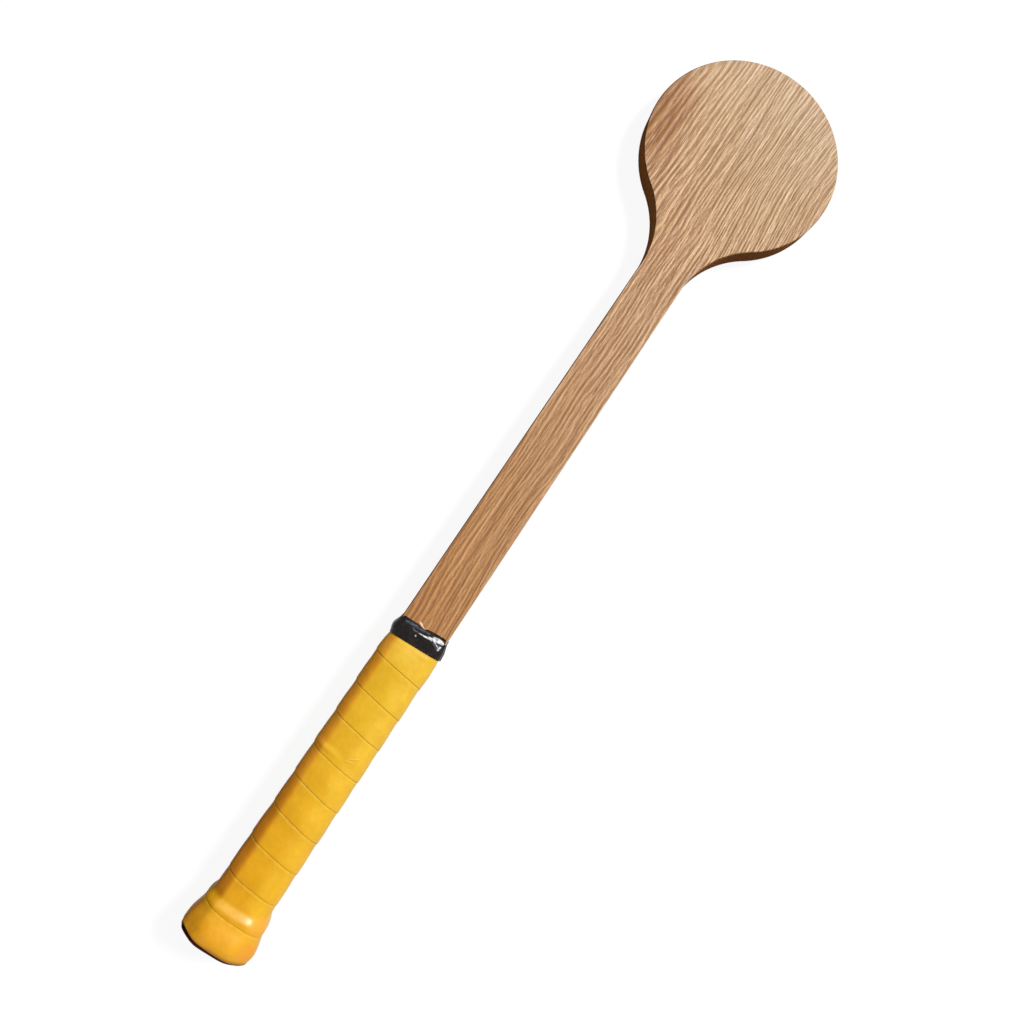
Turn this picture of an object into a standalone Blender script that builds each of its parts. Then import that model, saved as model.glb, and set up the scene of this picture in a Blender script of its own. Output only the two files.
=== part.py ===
"""Wooden tennis pointer: a small round oak head on a narrow neck, with a wrapped racket-style handle.

The shaft lies along +X, from the butt at x = 0 to the head's tip. +Z is the square way out of the
board's front face, and the handle's axis is the line y = z = 0. All sizes are in metres.
"""

import math

import bmesh
import bpy
import numpy as np

MM = 0.001

# Board: head, neck and tang in one piece of oak
OVERALL_LENGTH = 594 * MM
BOARD_THICKNESS = 15 * MM
HEAD_RADIUS = 60 * MM
NECK_WIDTH_AT_COLLAR = 29.1 * MM
NECK_WIDTH_AT_HEAD = 28.3 * MM
SHOULDER_RADIUS = 56 * MM
BOARD_EDGE_ROUND = 0.7 * MM
HEAD_ARC_POINTS = 42
SHOULDER_ARC_POINTS = 12

# Cheeks: glued on the board's two faces, they make the handle eight-sided
CHEEK_THICKNESS = 5.0 * MM
CHEEK_BEYOND_GRIP = 0.9 * MM
CHEEK_RAMP_LENGTH = 7.5 * MM
CHEEK_TIP_HEIGHT = 1.2 * MM
CHEEK_EDGE_ROUND = 0.5 * MM

# Fit between pieces that lie on each other
SEAT_GAP = 0.3 * MM

# Yellow length of the handle, from the butt to the finishing tape's lower edge
GRIP_LENGTH = 184.8 * MM

# Butt cap: plastic, with a lip round its end, a flare and a thin sleeve up the handle
CAP_LIP_HEIGHT = 0.8 * MM
CAP_LIP_RISE = 4.5 * MM
CAP_LIP_WIDTH = 2.6 * MM
CAP_END_WALL = 3.5 * MM
CAP_WAIST_RISE = 2.4 * MM
CAP_FLARE_RISE = 4.15 * MM
CAP_FLARE_AT = 5.5 * MM
CAP_SLEEVE_RISE = 1.6 * MM
CAP_SLEEVE_FROM = 16.5 * MM
CAP_SLEEVE_LENGTH = 4.5 * MM
CAP_BEVEL_SHARE = 0.5
CAP_RINGS = 12
DRAPE_LENGTH = 6 * MM

# Tacks: one through each side of the cap into the board's edge
TACK_AT = 10.5 * MM
TACK_HEAD_RADIUS = 2.3 * MM
TACK_HEAD_THICKNESS = 0.6 * MM
TACK_SHANK_RADIUS = 0.9 * MM
TACK_LENGTH = 11 * MM
TACK_POINT_LENGTH = 2.2 * MM
TACK_POINT_RADIUS = 0.18 * MM
TACK_HEAD_TOP_RADIUS = 1.6 * MM
TACK_POINTS = 24

# How far a cutter runs on past the face that it opens
CUTTER_RUN = 5 * MM

# Base grip: cushion strip wound edge to edge under the overgrip
BASE_GRIP_THICKNESS = 0.95 * MM
BASE_GRIP_FROM = 1.6 * MM
BASE_GRIP_SHORT = 2.6 * MM
SLEEVE_RINGS_OVER_CAP = 15
SLEEVE_RINGS_PLAIN = 4

# Overgrip: one strip, wound from the butt up with each turn lying over the edge of the last
OVERGRIP_THICKNESS = 0.5 * MM
OVERGRIP_WIDTH = 25.3 * MM
OVERGRIP_PITCH = 19.1 * MM
OVERGRIP_START_WIDTH = 12 * MM
OVERGRIP_START_TURN = -0.84
OVERGRIP_TAPER_TURNS = 0.8
OVERGRIP_FIRST_EDGE = 1.1 * MM
OVERGRIP_FIRST_SKEW = 0.7 * MM
OVERGRIP_FIRST_SEAM = 17.7 * MM
OVERGRIP_TUCK = 1.9 * MM
OVERGRIP_FRONT_SHARE = 0.7
TURN_GAP = 0.58 * MM
OVERLAP_MARGIN = 1.0 * MM
LIFT_FADE = 0.09
OVERGRIP_COLUMNS = (0.0, 0.14, 0.27, 0.4, 0.54, 0.69, 0.85, 1.0)

# Finishing tape: a short vinyl strip that holds the overgrip's end down on the neck
TAPE_WIDTH = 12.6 * MM
TAPE_GAP = 0.52 * MM
TAPE_THICKNESS = 0.25 * MM
TAPE_TURNS = 1.3
TAPE_START_TURN = 0.5
TAPE_COLUMNS = 8

# How round the eight-sided skins are at their corners, and the points that draw them
CORNER_POWER = 60
CORNER_SPREAD = math.radians(3.5)
CORNERS = 8
POINTS_A_CORNER = 3
TURN_POINTS = CORNERS * POINTS_A_CORNER

HALF_BOARD = BOARD_THICKNESS / 2
HALF_TANG = NECK_WIDTH_AT_COLLAR / 2
HALF_HANDLE = HALF_BOARD + CHEEK_THICKNESS
BEVEL_DISTANCE = (HALF_TANG + HALF_BOARD) / math.sqrt(2)
HEAD_CENTRE = OVERALL_LENGTH - CAP_LIP_HEIGHT - HEAD_RADIUS
TANG_FROM = CAP_END_WALL + SEAT_GAP
CAP_LENGTH = CAP_SLEEVE_FROM + CAP_SLEEVE_LENGTH
BASE_GRIP_TO = GRIP_LENGTH - BASE_GRIP_SHORT
OVERGRIP_TO = GRIP_LENGTH + OVERGRIP_TUCK
CHEEK_FULL_TO = GRIP_LENGTH + CHEEK_BEYOND_GRIP
CHEEK_TO = CHEEK_FULL_TO + CHEEK_RAMP_LENGTH * (1 - CHEEK_TIP_HEIGHT / CHEEK_THICKNESS)

OAK = ("oak", (0.45, 0.27, 0.14), 0.55, 0.0)
PLASTIC = ("black_plastic", (0.015, 0.014, 0.014), 0.35, 0.0)
STEEL = ("tack_steel", (0.55, 0.55, 0.56), 0.35, 1.0)
CUSHION = ("grip_cushion", (0.03, 0.03, 0.03), 0.8, 0.0)
YELLOW_GRIP = ("yellow_overgrip", (0.83, 0.44, 0.025), 0.5, 0.0)
BLACK_VINYL = ("black_vinyl", (0.012, 0.011, 0.013), 0.2, 0.0)


def smoothstep(share):
    """0 below 0, 1 above 1, and an even S between them."""
    share = np.clip(share, 0.0, 1.0)
    return share * share * (3.0 - 2.0 * share)


def clear_scene():
    for old in list(bpy.data.objects):
        bpy.data.objects.remove(old, do_unlink=True)


def new_collection(name):
    collection = bpy.data.collections.new(name)
    bpy.context.scene.collection.children.link(collection)
    return collection


def make_material(spec):
    name, colour, roughness, metallic = spec
    material = bpy.data.materials.get(name)
    if material is None:
        material = bpy.data.materials.new(name)
        material.use_nodes = True
        shader = material.node_tree.nodes["Principled BSDF"]
        shader.inputs["Base Color"].default_value = (*colour, 1.0)
        shader.inputs["Roughness"].default_value = roughness
        shader.inputs["Metallic"].default_value = metallic
        material.diffuse_color = (*colour, 1.0)
    return material


def add_part(name, mesh, material):
    """Link a mesh as one named sub-part, smooth where it is round and sharp at its edges."""
    part = bpy.data.objects.new(name, mesh)
    PARTS.objects.link(part)
    mesh.materials.clear()
    mesh.materials.append(make_material(material))
    mesh.shade_smooth()
    mesh.set_sharp_from_angle(angle=math.radians(32))
    return part


def add_cutter(name, mesh):
    cutter = bpy.data.objects.new(name, mesh)
    CUTTERS.objects.link(cutter)
    cutter.hide_render = True
    cutter.display_type = "WIRE"
    return cutter


def cut(part, cutter):
    boolean = part.modifiers.new("cut_" + cutter.name, "BOOLEAN")
    boolean.operation = "DIFFERENCE"
    boolean.solver = "EXACT"
    boolean.object = cutter


def round_edges(part, width, angle):
    bevel = part.modifiers.new("round_edges", "BEVEL")
    bevel.width = width
    bevel.segments = 2
    bevel.limit_method = "ANGLE"
    bevel.angle_limit = math.radians(angle)


def mesh_from_rows(name, rows, closed_rows, caps):
    """Closed mesh through a grid of points: rows[i, j] joined to its neighbours along both ways.

    Every row is a closed loop. closed_rows joins the last row to the first; otherwise the first
    and last rows are closed by caps, which is "fan" for a flat loop and "strip" for a loop whose
    first half runs along one side of a strip and whose second half runs back along the other.
    """
    row_count, loop_count = rows.shape[:2]
    mesh_data = bmesh.new()
    verts = [[mesh_data.verts.new(point) for point in row] for row in rows]
    for i in range(row_count if closed_rows else row_count - 1):
        here, there = verts[i], verts[(i + 1) % row_count]
        for j in range(loop_count):
            k = (j + 1) % loop_count
            mesh_data.faces.new((here[j], here[k], there[k], there[j]))
    if caps == "fan":
        mesh_data.faces.new(verts[0])
        mesh_data.faces.new(verts[-1])
    if caps == "strip":
        for row in (verts[0], verts[-1]):
            for j in range(loop_count // 2 - 1):
                back = loop_count - 1 - j
                mesh_data.faces.new((row[j], row[j + 1], row[back - 1], row[back]))
    bmesh.ops.recalc_face_normals(mesh_data, faces=mesh_data.faces)
    mesh = bpy.data.meshes.new(name)
    mesh_data.to_mesh(mesh)
    mesh_data.free()
    return mesh


def cap_rise(x):
    """How far the cap's flats stand out from the bare handle: waist, flare, sleeve, then drape."""
    x = np.asarray(x, float)
    to_flare = smoothstep(x / CAP_FLARE_AT)
    to_sleeve = smoothstep((x - CAP_FLARE_AT) / (CAP_SLEEVE_FROM - CAP_FLARE_AT))
    to_handle = smoothstep((x - CAP_LENGTH - SEAT_GAP) / DRAPE_LENGTH)
    rise = CAP_WAIST_RISE + (CAP_FLARE_RISE - CAP_WAIST_RISE) * to_flare
    rise = rise + (CAP_SLEEVE_RISE - CAP_FLARE_RISE) * to_sleeve
    return rise - CAP_SLEEVE_RISE * to_handle


def bevel_rise(rise):
    """The cap's corner faces flare less than its flats past the height of the sleeve."""
    beyond = np.maximum(rise - CAP_SLEEVE_RISE, 0.0)
    return rise - beyond * (1 - CAP_BEVEL_SHARE)


def front_height(x):
    """Distance of the wrapped front and back flats from the axis, falling past the cheeks' ramp."""
    ramp = (np.asarray(x, float) - CHEEK_FULL_TO - OVERLAP_MARGIN) / CHEEK_RAMP_LENGTH
    return HALF_HANDLE - CHEEK_THICKNESS * np.clip(ramp, 0.0, 1.0)


def plane_distances(x, rise, offset):
    """Distances of the front, corner and side planes from the axis, pushed out by rise and offset."""
    front = front_height(x) + rise + offset
    corner = BEVEL_DISTANCE + bevel_rise(rise) + offset
    side = HALF_TANG + rise + offset
    return front, corner, side


def corner_angle(index, x, rise):
    """Angle of ring point index from +Z towards +Y: three points round each of the eight corners."""
    front, corner, side = plane_distances(x, rise, OVERGRIP_THICKNESS)
    first = np.arctan2(corner * math.sqrt(2) - front, front)
    second = np.arctan2(side, corner * math.sqrt(2) - side)
    number = index // POINTS_A_CORNER % CORNERS
    quarter = number // 2
    outer = (number + quarter) % 2
    angle = np.where(outer == 0, first, second)
    mirrored = quarter % 2 == 1
    angle = np.where(mirrored, quarter_turn(quarter + 1) - angle, quarter_turn(quarter) + angle)
    return angle + CORNER_SPREAD * (index % POINTS_A_CORNER - 1)


def quarter_turn(count):
    return count * math.pi / 2


def skin_points(x, angle, rise, offset):
    """Points on an eight-sided skin round the handle, with its corners eased by a high power mean."""
    front, corner, side = plane_distances(x, rise, offset)
    total = 0.0
    for number in range(CORNERS):
        distance = (front, corner, side, corner)[number % 4]
        reach = np.maximum(np.cos(angle - number * math.pi / 4), 0.0) / distance
        total = total + reach**CORNER_POWER
    radius = total ** (-1.0 / CORNER_POWER)
    return np.stack((x + 0 * radius, radius * np.sin(angle), radius * np.cos(angle)), axis=-1)


def ring(x, rise, offset):
    """One closed ring of a skin, square to the handle at x."""
    index = np.arange(TURN_POINTS)
    places = np.full(TURN_POINTS, x)
    rises = np.full(TURN_POINTS, rise)
    return skin_points(places, corner_angle(index, places, rises), rises, offset)


def true_octagon(offset):
    """The bare handle's eight corners, each face pushed out by offset, as (y, z)."""
    front = HALF_HANDLE + offset
    corner = BEVEL_DISTANCE + offset
    side = HALF_TANG + offset
    y = corner * math.sqrt(2) - front
    z = corner * math.sqrt(2) - side
    quarter = [(y, front), (side, z), (side, -z), (y, -front)]
    return quarter + [(-a, b) for a, b in reversed(quarter)]


def board_outline():
    """Half of the board's outline from the tang's end to the head's tip, as (x, y) points.

    The neck's edge is a straight line that ends on a shoulder arc, which meets both the line and
    the head's circle without a kink.
    """
    straight_to = HEAD_CENTRE - HEAD_RADIUS - SHOULDER_RADIUS / 2
    run = straight_to - CHEEK_TO
    slope = (NECK_WIDTH_AT_HEAD - NECK_WIDTH_AT_COLLAR) / 2 / run
    tilt = math.atan(slope)
    normal = np.array([-math.sin(tilt), math.cos(tilt)])
    along = np.array([math.cos(tilt), math.sin(tilt)])
    corner = np.array([CHEEK_TO, HALF_TANG])
    head = np.array([HEAD_CENTRE, 0.0])
    offset_start = corner + normal * SHOULDER_RADIUS - head
    reach = HEAD_RADIUS + SHOULDER_RADIUS
    middle = offset_start @ along
    travel = -middle - math.sqrt(middle**2 - offset_start @ offset_start + reach**2)
    centre = offset_start + along * travel
    meets = math.atan2(centre[1], centre[0])
    turns = np.linspace(math.atan2(-normal[1], -normal[0]), meets - math.pi, SHOULDER_ARC_POINTS)
    shoulder = head + centre + SHOULDER_RADIUS * np.stack((np.cos(turns), np.sin(turns)), axis=1)
    sweep = np.linspace(meets, 0.0, HEAD_ARC_POINTS)[1:]
    cap_arc = head + HEAD_RADIUS * np.stack((np.cos(sweep), np.sin(sweep)), axis=1)
    start = np.array([[TANG_FROM, HALF_TANG], [CHEEK_TO, HALF_TANG]])
    return np.concatenate((start, shoulder, cap_arc))


def build_blade():
    """The oak board: its flat outline filled and given its thickness, with eased edges."""
    half = board_outline()
    outline = np.concatenate((half, half[-2::-1] * (1, -1)))
    curve = bpy.data.curves.new("board_outline", "CURVE")
    curve.dimensions = "2D"
    curve.fill_mode = "BOTH"
    curve.extrude = HALF_BOARD
    spline = curve.splines.new("POLY")
    spline.points.add(len(outline) - 1)
    for point, (x, y) in zip(spline.points, outline):
        point.co = (x, y, 0.0, 1.0)
    spline.use_cyclic_u = True
    drawn = bpy.data.objects.new("board_outline", curve)
    PARTS.objects.link(drawn)
    bpy.context.view_layer.update()
    depsgraph = bpy.context.evaluated_depsgraph_get()
    mesh = bpy.data.meshes.new_from_object(drawn.evaluated_get(depsgraph))
    welded = bmesh.new()
    welded.from_mesh(mesh)
    bmesh.ops.remove_doubles(welded, verts=welded.verts, dist=0.01 * MM)
    bmesh.ops.dissolve_limit(
        welded, angle_limit=math.radians(0.5), verts=welded.verts, edges=welded.edges
    )
    bmesh.ops.recalc_face_normals(welded, faces=welded.faces)
    welded.to_mesh(mesh)
    welded.free()
    bpy.data.objects.remove(drawn, do_unlink=True)
    blade = add_part("blade", mesh, OAK)
    for tack in (-1, 1):
        cut(blade, shank_cutter("board_hole", tack))
    round_edges(blade, BOARD_EDGE_ROUND, 60)
    return blade


def cheek_section(x, height):
    """A cheek's four corners at x: on the glue line, then on its outer flat at this height."""
    low = HALF_BOARD + SEAT_GAP
    high = HALF_BOARD + height
    reach = BEVEL_DISTANCE * math.sqrt(2)
    return [(x, reach - low, low), (x, reach - high, high), (x, high - reach, high), (x, low - reach, low)]


def build_cheek(name, side):
    """A glued cheek: a bevelled slab that runs out on a ramp under the finishing tape."""
    sections = [
        cheek_section(TANG_FROM, CHEEK_THICKNESS),
        cheek_section(CHEEK_FULL_TO, CHEEK_THICKNESS),
        cheek_section(CHEEK_TO, CHEEK_TIP_HEIGHT),
    ]
    rows = np.array(sections) * (1, 1, side)
    cheek = add_part(name, mesh_from_rows(name, rows, False, "fan"), OAK)
    round_edges(cheek, CHEEK_EDGE_ROUND, 20)
    return cheek


def cap_stations():
    """(x, rise) pairs that draw the cap's outside: lip, waist groove, flare and sleeve."""
    lip = [
        (-CAP_LIP_HEIGHT, CAP_LIP_RISE - CAP_LIP_HEIGHT / 2),
        (-CAP_LIP_HEIGHT / 2, CAP_LIP_RISE),
        (0.0, CAP_LIP_RISE),
        (SEAT_GAP, CAP_WAIST_RISE),
    ]
    body = np.linspace(SEAT_GAP, CAP_SLEEVE_FROM, CAP_RINGS)[1:]
    flare = [(x, float(cap_rise(x))) for x in body]
    sleeve = [(CAP_LENGTH - SEAT_GAP, CAP_SLEEVE_RISE), (CAP_LENGTH, CAP_SLEEVE_RISE - SEAT_GAP)]
    return lip + flare + sleeve


def build_butt_cap():
    """The cap: an eight-sided cup whose lip, flare and sleeve follow one profile."""
    rows = np.array([ring(x, rise, 0.0) for x, rise in cap_stations()])
    cap = add_part("butt_cap", mesh_from_rows("butt_cap", rows, False, "fan"), PLASTIC)
    mouth = CAP_LENGTH + CUTTER_RUN
    pocket = np.array([[(x, y, z) for y, z in true_octagon(SEAT_GAP)] for x in (CAP_END_WALL, mouth)])
    cut(cap, add_cutter("handle_pocket", mesh_from_rows("handle_pocket", pocket, False, "fan")))
    inset = CAP_LIP_RISE - CAP_LIP_WIDTH
    panel = np.array([ring(x, inset, 0.0) for x in (-CAP_LIP_HEIGHT - CUTTER_RUN, 0.0)])
    cut(cap, add_cutter("end_recess", mesh_from_rows("end_recess", panel, False, "fan")))
    for side in (-1, 1):
        cut(cap, shank_cutter("cap_hole", side))
        seat = HALF_TANG + CAP_SLEEVE_RISE
        radius = TACK_HEAD_RADIUS + SEAT_GAP
        cut(cap, cylinder_cutter("tack_seat", side, radius, seat, seat + CUTTER_RUN))
    return cap


def cylinder_mesh(name, side, stations):
    """A turned pin along the Y axis at TACK_AT, from (distance from the axis, radius) pairs."""
    turn = np.arange(TACK_POINTS) * math.tau / TACK_POINTS
    rows = []
    for distance, radius in stations:
        x = TACK_AT + radius * np.cos(turn)
        z = radius * np.sin(turn)
        rows.append(np.stack((x, np.full(TACK_POINTS, side * distance), z), axis=1))
    return mesh_from_rows(name, np.array(rows), False, "fan")


def cylinder_cutter(name, side, radius, inner, outer):
    label = name + ("_left" if side > 0 else "_right")
    return add_cutter(label, cylinder_mesh(label, side, [(inner, radius), (outer, radius)]))


def shank_cutter(name, side):
    """The hole that a tack's shank runs in, a seat gap longer and wider than the shank."""
    head_under = HALF_TANG + CAP_SLEEVE_RISE + SEAT_GAP
    bottom = head_under - TACK_LENGTH - SEAT_GAP
    return cylinder_cutter(name, side, TACK_SHANK_RADIUS + SEAT_GAP, bottom, head_under + SEAT_GAP)


def build_tack(name, side):
    """A tack: pointed shank and flat head, seated in the cap's counterbore."""
    head_under = HALF_TANG + CAP_SLEEVE_RISE + SEAT_GAP
    stations = [
        (head_under - TACK_LENGTH, TACK_POINT_RADIUS),
        (head_under - TACK_LENGTH + TACK_POINT_LENGTH, TACK_SHANK_RADIUS),
        (head_under, TACK_SHANK_RADIUS),
        (head_under, TACK_HEAD_RADIUS),
        (head_under + TACK_HEAD_THICKNESS / 2, TACK_HEAD_RADIUS),
        (head_under + TACK_HEAD_THICKNESS, TACK_HEAD_TOP_RADIUS),
    ]
    return add_part(name, cylinder_mesh(name, side, stations), STEEL)


def wrap_stations(start, end):
    """Places along the handle where a sleeve needs a ring: close together over the cap."""
    plain_from = CAP_LENGTH + DRAPE_LENGTH
    over_cap = np.linspace(start, plain_from, SLEEVE_RINGS_OVER_CAP)
    return np.concatenate((over_cap, np.linspace(plain_from, end, SLEEVE_RINGS_PLAIN)[1:]))


def build_base_grip():
    """The cushion under the overgrip: its strips lie edge to edge, so it is one even sleeve."""
    places = wrap_stations(BASE_GRIP_FROM, BASE_GRIP_TO)
    outside = [ring(x, float(cap_rise(x)), SEAT_GAP + BASE_GRIP_THICKNESS) for x in places]
    inside = [ring(x, float(cap_rise(x)), SEAT_GAP) for x in reversed(places)]
    rows = np.array(outside + inside)
    return add_part("base_grip", mesh_from_rows("base_grip", rows, True, None), CUSHION)


def overgrip_seat(x):
    """Distance of the overgrip's underside from the bare handle or cap, falling past the cushion."""
    bare = smoothstep((x - BASE_GRIP_TO - SEAT_GAP) / (OVERGRIP_TO - BASE_GRIP_TO))
    return SEAT_GAP + (BASE_GRIP_THICKNESS + SEAT_GAP) * (1 - bare)


def lower_edge(turn):
    """Place of the overgrip's lower edge after this many turns, counted from the front's middle.

    The first turn lies round the butt, a little lower on the right than on the left. A cubic then
    brings the edge to the first seam in one turn. After that it climbs one pitch a turn, less
    across the front than across the back.
    """
    turn = np.asarray(turn, float)
    round_butt = OVERGRIP_FIRST_EDGE + OVERGRIP_FIRST_SKEW * np.sin(math.tau * turn)
    share = np.clip(turn, 0.0, 1.0)
    first = (
        (2 * share**3 - 3 * share**2 + 1) * OVERGRIP_FIRST_EDGE
        + (share**3 - 2 * share**2 + share) * math.tau * OVERGRIP_FIRST_SKEW
        + (3 * share**2 - 2 * share**3) * OVERGRIP_FIRST_SEAM
        + (share**3 - share**2) * OVERGRIP_PITCH * OVERGRIP_FRONT_SHARE
    )
    ripple = (1 - OVERGRIP_FRONT_SHARE) * np.sin(math.tau * turn) / math.tau
    rest = OVERGRIP_FIRST_SEAM + OVERGRIP_PITCH * (turn - 1 - ripple)
    return np.where(turn < 0, round_butt, np.where(turn < 1, first, rest))


def upper_edge(turn):
    """Place of the strip's upper edge: its start is cut to a taper, and its end square."""
    grown = np.clip((turn - OVERGRIP_START_TURN) / OVERGRIP_TAPER_TURNS, 0.0, 1.0)
    width = OVERGRIP_START_WIDTH + (OVERGRIP_WIDTH - OVERGRIP_START_WIDTH) * grown
    return np.minimum(lower_edge(turn) + width, OVERGRIP_TO)


def overgrip_lift(x, turn):
    """How far a turn is lifted to lie over the edge of the turn before it.

    The lift is gone where the next turn, or the finishing tape, lies over this one.
    """
    over_edge = upper_edge(turn - 1) + OVERLAP_MARGIN
    down_by = np.minimum(lower_edge(turn + 1) - OVERLAP_MARGIN, GRIP_LENGTH - SEAT_GAP)
    room = np.maximum(down_by - over_edge, 2 * OVERLAP_MARGIN)
    across = 1 - smoothstep((x - over_edge) / room)
    begins = OVERGRIP_START_TURN + 1 - 2 * LIFT_FADE
    along = smoothstep((turn - begins) / LIFT_FADE)
    return (OVERGRIP_THICKNESS + TURN_GAP) * across * along


def ring_turns(first, last):
    """Whole-number ring positions from turn first to turn last, with their turns on a plain handle."""
    count = np.arange(math.floor(first * TURN_POINTS) - 2, math.ceil(last * TURN_POINTS) + 3)
    index = count % TURN_POINTS
    plain = np.full(len(count), CAP_LENGTH + DRAPE_LENGTH)
    turns = count // TURN_POINTS + corner_angle(index, plain, cap_rise(plain)) / math.tau
    kept = (turns >= first) & (turns <= last)
    return index[kept], turns[kept]


def strip_rows(index, turns, places, underside, thickness, rise):
    """Closed loops across a wound strip: out along its outer face and back along its inner face."""
    index = index[:, None]
    angle = corner_angle(index, places, rise) + math.tau * np.round(
        turns[:, None] - corner_angle(index, places, rise) / math.tau
    )
    outer = skin_points(places, angle, rise, underside + thickness)
    inner = skin_points(places, angle, rise, underside)
    return np.concatenate((outer, inner[:, ::-1]), axis=1)


def least_gap(rows):
    """Least distance between rings that lie one whole turn apart, on points along their loops."""
    closed = np.concatenate((rows, rows[:, :1]), axis=1)
    shares = np.linspace(0.0, 1.0, 6)[:-1]
    dense = [closed[:, :-1] * (1 - s) + closed[:, 1:] * s for s in shares]
    points = np.concatenate(dense, axis=1)
    lower = points[:-TURN_POINTS]
    upper = points[TURN_POINTS:]
    nearest = math.inf
    for a, b in zip(lower, upper):
        between = np.linalg.norm(a[:, None] - b[None], axis=2)
        nearest = min(nearest, float(between.min()))
    return nearest


def build_overgrip():
    """The yellow overgrip: one unbroken strip wound up the handle in overlapping turns."""
    last_overlap = GRIP_LENGTH - SEAT_GAP - 3 * OVERLAP_MARGIN
    last = 2 + (last_overlap - OVERGRIP_WIDTH - OVERGRIP_FIRST_SEAM) / OVERGRIP_PITCH
    index, turns = ring_turns(OVERGRIP_START_TURN, last)
    low = lower_edge(turns)[:, None]
    high = upper_edge(turns)[:, None]
    places = low + (high - low) * np.array(OVERGRIP_COLUMNS)
    underside = overgrip_seat(places) + overgrip_lift(places, turns[:, None])
    rows = strip_rows(index, turns, places, underside, OVERGRIP_THICKNESS, cap_rise(places))
    print(f"overgrip: {turns[-1] - turns[0]:.2f} turns, least gap to itself {least_gap(rows) / MM:.2f} mm")
    return add_part("overgrip", mesh_from_rows("overgrip", rows, False, "strip"), YELLOW_GRIP)


def tape_seat(x):
    """Distance of the tape's underside from the bare handle, falling past the overgrip's end."""
    past = smoothstep((x - OVERGRIP_TO - SEAT_GAP) / (2 * OVERLAP_MARGIN))
    return SEAT_GAP + (overgrip_seat(x) + OVERGRIP_THICKNESS) * (1 - past)


def build_finishing_tape():
    """The black tape: wound once and a bit from the back, its tail lying on its own start."""
    index, turns = ring_turns(TAPE_START_TURN, TAPE_START_TURN + TAPE_TURNS)
    across = np.linspace(0.0, 1.0, TAPE_COLUMNS)
    places = GRIP_LENGTH + TAPE_WIDTH * across + 0 * turns[:, None]
    begins = TAPE_START_TURN + 1 - 2 * LIFT_FADE
    lift = (TAPE_THICKNESS + TAPE_GAP) * smoothstep((turns - begins) / LIFT_FADE)
    underside = tape_seat(places) + lift[:, None]
    rows = strip_rows(index, turns, places, underside, TAPE_THICKNESS, cap_rise(places))
    print(f"finishing tape: {TAPE_TURNS} turns, least gap to itself {least_gap(rows) / MM:.2f} mm")
    mesh = mesh_from_rows("finishing_tape", rows, False, "strip")
    return add_part("finishing_tape", mesh, BLACK_VINYL)


def main():
    build_blade()
    build_cheek("handle_cheek_front", 1)
    build_cheek("handle_cheek_back", -1)
    build_butt_cap()
    build_tack("cap_tack_left", 1)
    build_tack("cap_tack_right", -1)
    build_base_grip()
    build_overgrip()
    build_finishing_tape()


clear_scene()
PARTS = new_collection("wooden_tennis_pointer")
CUTTERS = new_collection("cutters")
main()
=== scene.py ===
"""Looks of the wooden tennis pointer: an oak training bat with an eight-sided wrapped handle.

The bat lies along +X, from the butt cap's panel at x = 0 to the head's tip. +Z is square out of the
board's front face, and +Y is on the left when the head is up. All sizes are in metres. Places round
the handle are counted in turns, from +Z towards +Y.
"""

import math

import bpy
import numpy as np
from mathutils import Matrix, Vector


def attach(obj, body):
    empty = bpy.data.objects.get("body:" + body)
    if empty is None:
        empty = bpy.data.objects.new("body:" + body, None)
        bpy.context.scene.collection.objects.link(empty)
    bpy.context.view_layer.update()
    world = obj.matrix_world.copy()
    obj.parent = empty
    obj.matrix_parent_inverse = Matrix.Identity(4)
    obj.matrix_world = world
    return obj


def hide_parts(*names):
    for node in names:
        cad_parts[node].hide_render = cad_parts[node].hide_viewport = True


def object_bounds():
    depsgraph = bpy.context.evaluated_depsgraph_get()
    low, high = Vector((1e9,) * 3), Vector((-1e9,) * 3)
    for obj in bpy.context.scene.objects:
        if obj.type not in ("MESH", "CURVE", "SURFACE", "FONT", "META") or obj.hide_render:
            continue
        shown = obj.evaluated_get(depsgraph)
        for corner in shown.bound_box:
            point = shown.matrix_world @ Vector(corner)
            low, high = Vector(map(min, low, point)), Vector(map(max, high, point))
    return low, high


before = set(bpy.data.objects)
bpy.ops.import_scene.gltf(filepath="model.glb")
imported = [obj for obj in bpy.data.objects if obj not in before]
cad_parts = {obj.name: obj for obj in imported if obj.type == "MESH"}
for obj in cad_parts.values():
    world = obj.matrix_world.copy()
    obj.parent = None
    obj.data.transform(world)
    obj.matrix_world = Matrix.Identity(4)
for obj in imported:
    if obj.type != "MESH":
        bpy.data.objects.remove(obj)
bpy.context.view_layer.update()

MM = 0.001

# Camera, as the photograph was taken: place, and the ways that its right and its top point
CAMERA_PLACE = (0.21011, 0.0115, 0.50793)
CAMERA_RIGHT = (0.55068, -0.82883, 0.09902)
CAMERA_TOP = (0.82423, 0.55866, 0.09242)
CAMERA_LENS = 31.64
CAMERA_SENSOR = 36.0

# Light: one soft window beyond the head and to the right, and an even pale room
WINDOW_FROM = (0.52, -0.38, 0.765)
WINDOW_STRENGTH = 3.05
WINDOW_SOFTNESS = math.radians(11)
ROOM_STRENGTH = 0.25
FLOOR_REACH = 3.0
FLOOR_BOUNCE = 0.2
FLOOR_SHADOW_SHARE = 0.11

# Oak board
HEAD_CENTRE = 533.2 * MM
HEAD_RADIUS = 60 * MM
SHOULDER_RADIUS = 56 * MM
HALF_BOARD = 7.5 * MM
HALF_TANG = 14.55 * MM
HALF_NECK_AT_HEAD = 14.15 * MM
TANG_FROM = 3.8 * MM
NECK_FROM = 191.4 * MM
ARRIS_ROUND = 0.7 * MM

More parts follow.
